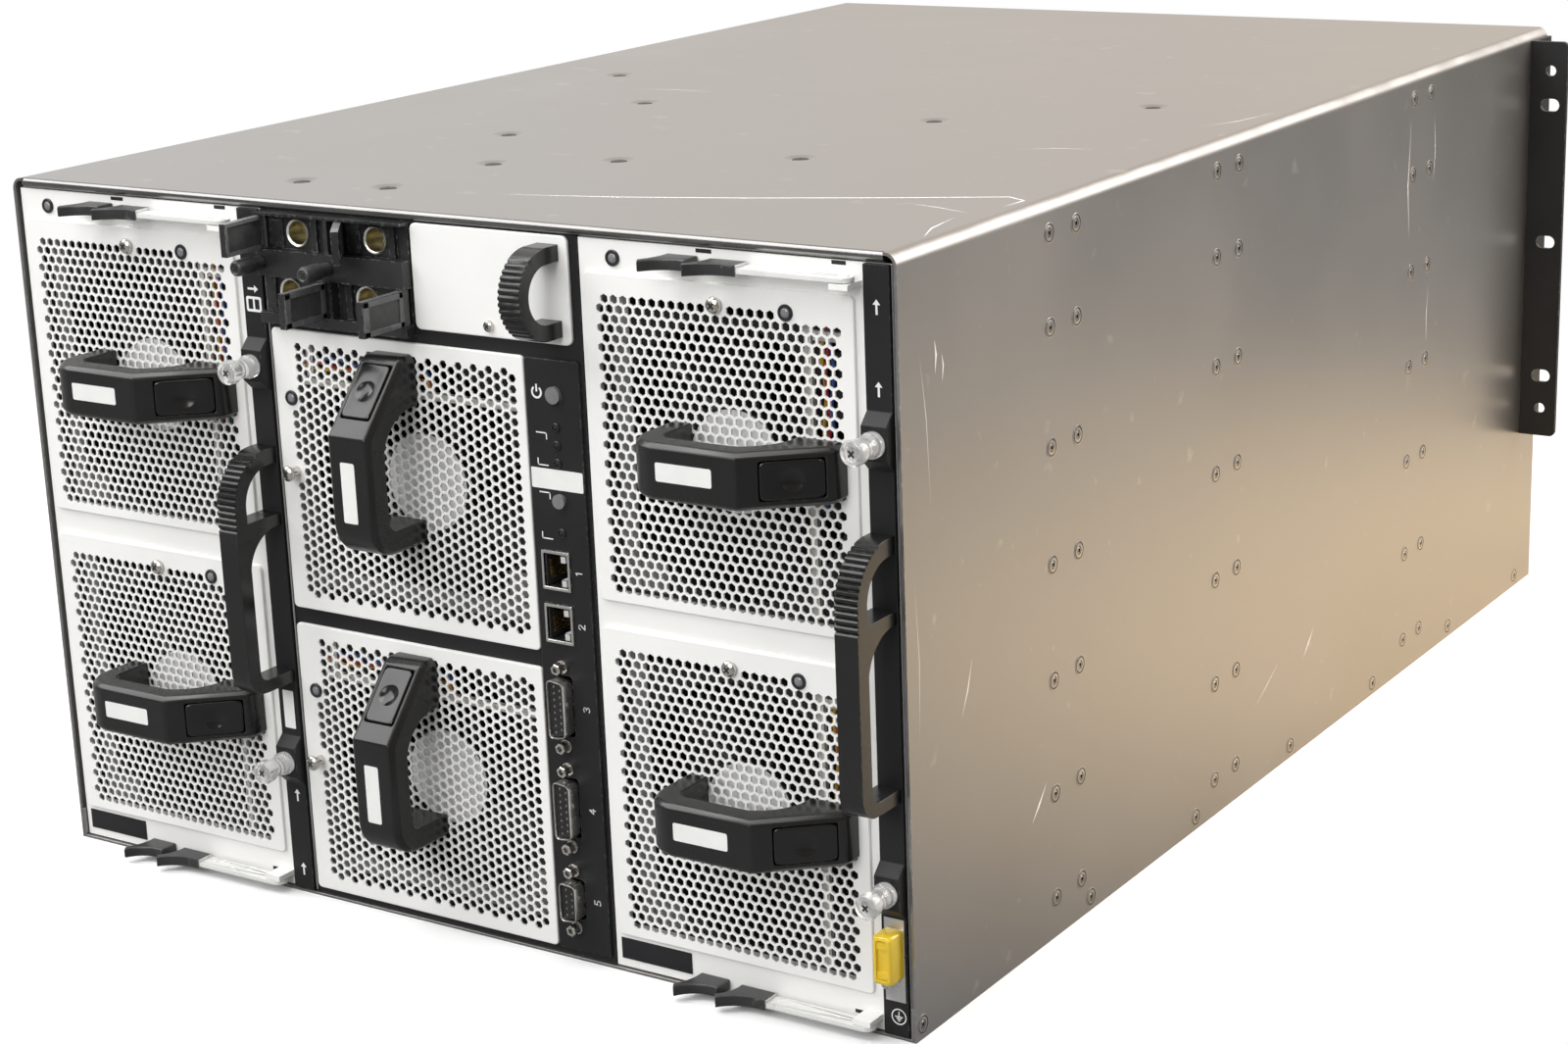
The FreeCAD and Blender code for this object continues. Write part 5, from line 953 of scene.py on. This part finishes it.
NUMERALS = (
    (JACKS[0], ((0.1, 0.8), (0.35, 1.0), (0.35, 0))),
    (JACKS[1], ((0, 0.78), (0.12, 0.95), (0.35, 1.0), (0.6, 0.88), (0.6, 0.66), (0, 0), (0.65, 0))),
    (DSUBS[0][0], ((0, 0.9), (0.3, 1.0), (0.6, 0.86), (0.58, 0.66), (0.28, 0.53), (0.6, 0.38), (0.6, 0.14),
                   (0.3, 0), (0, 0.1))),
    (DSUBS[1][0], ((0.5, 0), (0.5, 1.0), (0, 0.32), (0.7, 0.32))),
    (DSUBS[2][0], ((0.6, 1.0), (0.1, 1.0), (0.05, 0.55), (0.35, 0.6), (0.62, 0.42), (0.6, 0.15), (0.3, 0),
                   (0, 0.1))),
)
for z, path in NUMERALS:
    ruled(work, [(NUMERAL_X - NUMERAL_SIZE * b, z - NUMERAL_DROP + NUMERAL_SIZE * a) for a, b in path], 0.4,
          CONTROL_FRONT)
fitted("control_signs", work, "chassis", "white_paint", print_white)

# Panel connectors: two shielded network jacks and three D-shaped sockets with hexagonal jack screws.
# Nickel-plated shells, black insulators, gold contacts and grey light windows in the jacks.
connector_nickel = finish("connector_nickel", (0.7, 0.69, 0.66), 0.26, metal=1.0, drift=0.03, patch=8,
                          relief=0.02)
insulator = finish("insulator", (0.012, 0.012, 0.013), 0.45, patch=4, relief=0.2)
gold = finish("gold", (0.83, 0.6, 0.2), 0.25, metal=1.0, patch=2)
window_grey = finish("window_grey", (0.5, 0.51, 0.5), 0.3, patch=3, Coat_Weight=0.4)
JACK_SHELL = ((13.6, 16.2, -0.5), (13.6, 16.2, 0.75), (13.3, 15.9, 1.0), (11.9, 13.9, 1.0),
              (11.6, 13.6, 0.8), (11.6, 13.6, -14.0))
DSUB_SHELL = ((0, -0.3), (0, 6.0), (0.15, 6.35), (0.4, 6.4), (0.6, 6.1), (0.6, 1.2))
DSUB_WIDTH, DSUB_CORNER, DSUB_TAPER, DSUB_SCREW = 8.3, 2.2, 0.01, 4.1
work = bmesh.new()
for z in JACKS:
    band(work, [[(CONNECTOR_X + a, CONTROL_FRONT - depth, z + b) for a, b in rounded(width, height, 0.5)]
                for width, height, depth in JACK_SHELL])
for z, length, pins in DSUBS:
    band(work, [[(CONNECTOR_X + a, CONTROL_FRONT - depth, z + b * (0.96 - DSUB_TAPER * a))
                 for a, b in rounded(DSUB_WIDTH - 2 * inset, length - 2 * inset, DSUB_CORNER - inset)]
                for inset, depth in DSUB_SHELL])
shells = fitted("connector_shells", work, "chassis", "connector_steel", connector_nickel)
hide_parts("panel_connectors")
JACK_BARS = ((-5.0, 5.0, 12.5, 14.8, -6.4, 6.4, 0.2, 0), (-5.1, -4.5, 0.5, 13, -6.4, 6.4, 0.1, 0),
             (2.4, 5.1, 0.4, 12, 3.4, 6.4, 0.2, 2), (2.4, 5.1, 0.4, 12, -6.4, -3.4, 0.2, 2))
CONTACTS, CONTACT_PITCH = 8, 1.02
JACK_FRONT = CONTROL_FRONT - 1.0
work = bmesh.new()
for z in JACKS:
    for left, right, near, far, low, high, ease, mark in JACK_BARS:
        bar(work, (CONNECTOR_X + left, JACK_FRONT + near, z + low),
            (CONNECTOR_X + right, JACK_FRONT + far, z + high), ease, mark)
    for k in range(CONTACTS):
        level = z + (k - (CONTACTS - 1) / 2) * CONTACT_PITCH
        bar(work, (CONNECTOR_X - 4.4, JACK_FRONT + 2.0, level - 0.2),
            (CONNECTOR_X - 3.6, JACK_FRONT + 12.4, level + 0.2), 0.05, 1)
fitted("jack_inserts", work, "chassis", "black_plastic", insulator, gold, window_grey)
PIN_ROW, PIN_PITCH, PIN_RADIUS = 1.42, 2.74, 0.62
work = bmesh.new()
for z, length, pins in DSUBS:
    half = length / 2
    face = [(-3.3, -half + 1.0), (3.3, -half + 1.9), (3.3, half - 1.9), (-3.3, half - 1.0)]
    holes = [circle(row, (k - (count - 1) / 2) * PIN_PITCH, PIN_RADIUS, 10)
             for row, count in ((-PIN_ROW, pins), (PIN_ROW, pins - 1)) for k in range(count)]
    stand = rearward(CONTROL_FRONT, CONNECTOR_X, z)
    punched(work, face, holes, stand, 5.3, 1.5)
    punched(work, [(a * 0.98, b * 0.98) for a, b in face], [], stand, 4.9, 1.4, mark=1)
fitted("dsub_inserts", work, "chassis", "black_plastic", insulator, connector_nickel)
JACK_SCREW = [(2.4, 1.0), (2.4, 4.9), (2.1, 5.3), (1.35, 5.3), (1.2, 4.9), (1.2, 2.0), (0, 2.0)]
work = bmesh.new()
for z, length, pins in DSUBS:
    for end in (-1, 1):
        place = (CONNECTOR_X, CONTROL_FRONT, z + end * (length / 2 + DSUB_SCREW))
        turned(work, [(0, 0), (2.7, 0), (2.7, 1.0), (2.3, 1.0)], place, sides=24)
        turned(work, JACK_SCREW, place, sides=6)
fitted("jack_screws", work, "chassis", "connector_steel", connector_nickel, sharp=25)

# Earth point: a bright plated pad on the right strip with two studs, under a clear yellow cap.
# A printed earth sign stands below it.
pad_steel = finish("pad_steel", (0.66, 0.66, 0.65), 0.3, metal=0.9, drift=0.08, patch=9, relief=0.1,
                   speck=0.7)
yellow_clear = finish("yellow_clear", (1.0, 0.68, 0.04), 0.1, drift=0.06, patch=6, relief=0.03,
                      Transmission_Weight=0.25, IOR=1.49, Coat_Weight=0.6, Coat_Roughness=0.04)
EARTH_X, STUD_LEVELS = STRIP_MIDDLE["right"], (26.0, 40.0)
STUD = [(3.0, 0.2), (3.0, 2.4), (1.9, 2.6), (1.9, 7.4), (1.4, 7.9), (0, 7.9)]
work = bmesh.new()
bar(work, (EARTH_X - 4.2, STRIP_FRONT - 0.25, 16.0), (EARTH_X + 4.6, STRIP_FRONT + SUNK, 50.0), 0.12)
fitted("earth_pad", work, "right_module", "bright_steel", pad_steel)
work = bmesh.new()
for z in STUD_LEVELS:
    turned(work, STUD, (EARTH_X, STRIP_FRONT, z), sides=24)
fitted("earth_studs", work, "right_module", "bright_steel", nickel)
CAP_TALL, CAP_RIB_REACH = 20.0, 6.0
low, high = [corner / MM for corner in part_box("ground_cap")]
wide = high.x - low.x
cap_x, cap_z = (low.x + high.x) / 2, high.z - CAP_TALL / 2
work = bmesh.new()
loops = []
for across, along, y in ((0, 0, high.y), (0, 0, low.y + 1.6), (0.9, 0.9, low.y + 0.4), (2.0, 2.0, low.y),
                         (3.4, 3.6, low.y), (3.8, 4.2, low.y + 1.3)):
    outline = rounded(wide - across, CAP_TALL - along, min(1.4, (wide - across) / 3), middle=(cap_x, cap_z))
    loops.append([(a, y, b) for a, b in outline])
band(work, loops)
hollow = rounded(wide - 2.4, CAP_TALL - 2.4, 0.8, middle=(cap_x, cap_z))
band(work, [[(a, y, b) for a, b in hollow] for y in (high.y, low.y + 2.4)])
bmesh.ops.holes_fill(work, edges=[line for line in work.edges
                                  if line.is_boundary and all(end.co.y < high.y - 1 for end in line.verts)])
for z in (cap_z - CAP_RIB_REACH, cap_z + CAP_RIB_REACH):
    bar(work, (low.x + 0.8, low.y + 0.5, z - 1.6), (high.x - 0.8, low.y + 2.6, z + 1.6), 0.5)
cap = fitted("earth_cap", work, "right_module", "yellow_cap", yellow_clear)
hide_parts("ground_cap")
SIGN_X, SIGN_Z, SIGN_OUTER, SIGN_INNER = EARTH_X + 1.2, 9.75, 3.3, 2.85
SIGN_BARS = ((0.22, 0.2, 2.1), (1.7, -0.25, 0.2), (1.1, -1.05, -0.6), (0.5, -1.85, -1.4))
work = bmesh.new()
punched(work, circle(SIGN_X, SIGN_Z, SIGN_OUTER, 32), [circle(SIGN_X, SIGN_Z, SIGN_INNER, 32)],
        rearward(STRIP_FRONT), 2 * PRINT, 0)
for half, foot, head in SIGN_BARS:
    corners = ((-half, foot), (half, foot), (half, head), (-half, head))
    printed(work, [(SIGN_X + a, SIGN_Z + b) for a, b in corners], STRIP_FRONT)
fitted("earth_sign", work, "right_module", "white_paint", print_white)

# Studio: a sheet of white paper, four soft light panels and the camera where the photograph was taken.
# The paper looks white to the camera, but throws a darker light on the case, warm beside its far end.
FLOOR_REACH = 14.0
CASE_TONE, WARM_TONE, FAR_TONE, PAPER_TONE = (0.2,) * 3, (1.0, 0.76, 0.48), (0.16,) * 3, (0.93,) * 3
FAR_SPAN, WARM_SPAN, DIM_SPAN, WHITE_SPAN = (0.5, 1.0), (-0.32, 0.1), (0.36, 0.75), (0.23, 0.4)
floor_mesh = bpy.data.meshes.new("floor")
corners = [(x * FLOOR_REACH, y * FLOOR_REACH, 0) for x, y in ((-1, -1), (1, -1), (1, 1), (-1, 1))]
floor_mesh.from_pydata(corners, [], [(0, 1, 2, 3)])
floor = placed("floor", floor_mesh)
floor_white = bpy.data.materials.new("floor_white")
floor_white.use_nodes = True
floor_mesh.materials.append(floor_white)
paper = floor_white.node_tree
matt = paper.nodes["Principled BSDF"]
matt.inputs["Roughness"].default_value = 0.7
place = wired(paper, "ShaderNodeTexCoord")["Object"]
across = wired(paper, "ShaderNodeSeparateXYZ", place)
away = span(paper, wired(paper, "ShaderNodeVectorMath", place, operation="LENGTH")["Value"], *FAR_SPAN)
warmed = span(paper, across["Y"], *WARM_SPAN)
dimmed = combined(paper, "MAXIMUM", away, span(paper, across["X"], *DIM_SPAN))
whitened = combined(paper, "MAXIMUM", away, span(paper, across["X"], *WHITE_SPAN))
eye = wired(paper, "ShaderNodeLightPath")["Is Camera Ray"]
tone = blended(paper, dimmed, blended(paper, warmed, CASE_TONE, WARM_TONE), FAR_TONE)
paper.links.new(blended(paper, eye, tone, PAPER_TONE), matt.inputs["Base Color"])
glow = wired(paper, "ShaderNodeEmission")["Emission"]
bright = combined(paper, "MULTIPLY", eye, whitened)
both = wired(paper, "ShaderNodeMixShader", bright, matt.outputs["BSDF"], glow)["Shader"]
paper.links.new(both, paper.nodes["Material Output"].inputs["Surface"])
SKY_TONE, SKY_STRENGTH, TINT = (0.8, 0.8, 0.8, 1), 0.5, (1, 0.88, 0.76)
BACKDROP_SPAN, BACKDROP_STRENGTH, TINT_SPAN = (-0.4, 0.5), (0.3, 1.0), (-0.75, -0.35)
world = bpy.data.worlds.new("studio")
bpy.context.scene.world = world
world.use_nodes = True
sky = world.node_tree
sky.nodes.clear()
ray = wired(sky, "ShaderNodeLightPath")
looking = wired(sky, "ShaderNodeSeparateXYZ", wired(sky, "ShaderNodeTexCoord")["Generated"])
backdrop = span(sky, looking["Y"], *BACKDROP_SPAN, *BACKDROP_STRENGTH)
tinted = combined(sky, "MULTIPLY", span(sky, looking["X"], *TINT_SPAN), ray["Is Glossy Ray"])
mirrored = combined(sky, "MAXIMUM", ray["Is Glossy Ray"], ray["Is Transmission Ray"])
lit = wired(sky, "ShaderNodeBackground", SKY_TONE, SKY_STRENGTH)["Background"]
seen = wired(sky, "ShaderNodeBackground", blended(sky, tinted, (1, 1, 1), TINT),
             combined(sky, "MAXIMUM", ray["Is Camera Ray"], backdrop))["Background"]
choice = combined(sky, "MAXIMUM", ray["Is Camera Ray"], mirrored)
wired(sky, "ShaderNodeOutputWorld", wired(sky, "ShaderNodeMixShader", choice, lit, seen)["Shader"])
LAMPS = (("key_panel", (-1.45, -0.95, 2.1), (0, 0, 0.15), 2.2, 64.0, (1, 1, 1)),
         ("front_panel", (0.2, -2.9, 1.5), (0, 0, 0.15), 1.6, 42.0, (1, 1, 1)),
         ("top_panel", (0.0, -0.6, 1.75), (0, -0.35, 0.15), 1.2, 12.0, (1, 1, 1)),
         ("side_panel", (1.05, 0.85, 0.95), (0.3, 0.45, 0), 1.2, 29.0, (1, 0.98, 0.95)))
for name, spot, aim, size, power, colour in LAMPS:
    panel = bpy.data.lights.new(name, "AREA")
    panel.shape = "SQUARE"
    panel.size = size
    panel.energy = power
    panel.color = colour
    panel_light = placed(name, panel)
    panel_light.location = spot
    panel_light.rotation_euler = (Vector(aim) - Vector(spot)).to_track_quat("-Z", "Y").to_euler()
view = bpy.data.cameras.new("camera")
view.lens = 68.4625
view.sensor_width = 36.0
view.sensor_fit = "HORIZONTAL"
camera = placed("camera", view)
standpoint = Vector((0.756695, -1.218011, 0.504163))
right = Vector((0.83781958, 0.54475306, -0.03608958))
down = Vector((0.12176053, -0.25088651, -0.96032824))
ahead = Vector((-0.53219614, 0.80018752, -0.27652705))
turn = Matrix((right, -down, -ahead)).transposed().to_4x4()
camera.matrix_world = Matrix.Translation(standpoint) @ turn
bpy.context.scene.camera = camera
bpy.context.scene.view_settings.view_transform = "Standard"
bpy.context.view_layer.update()
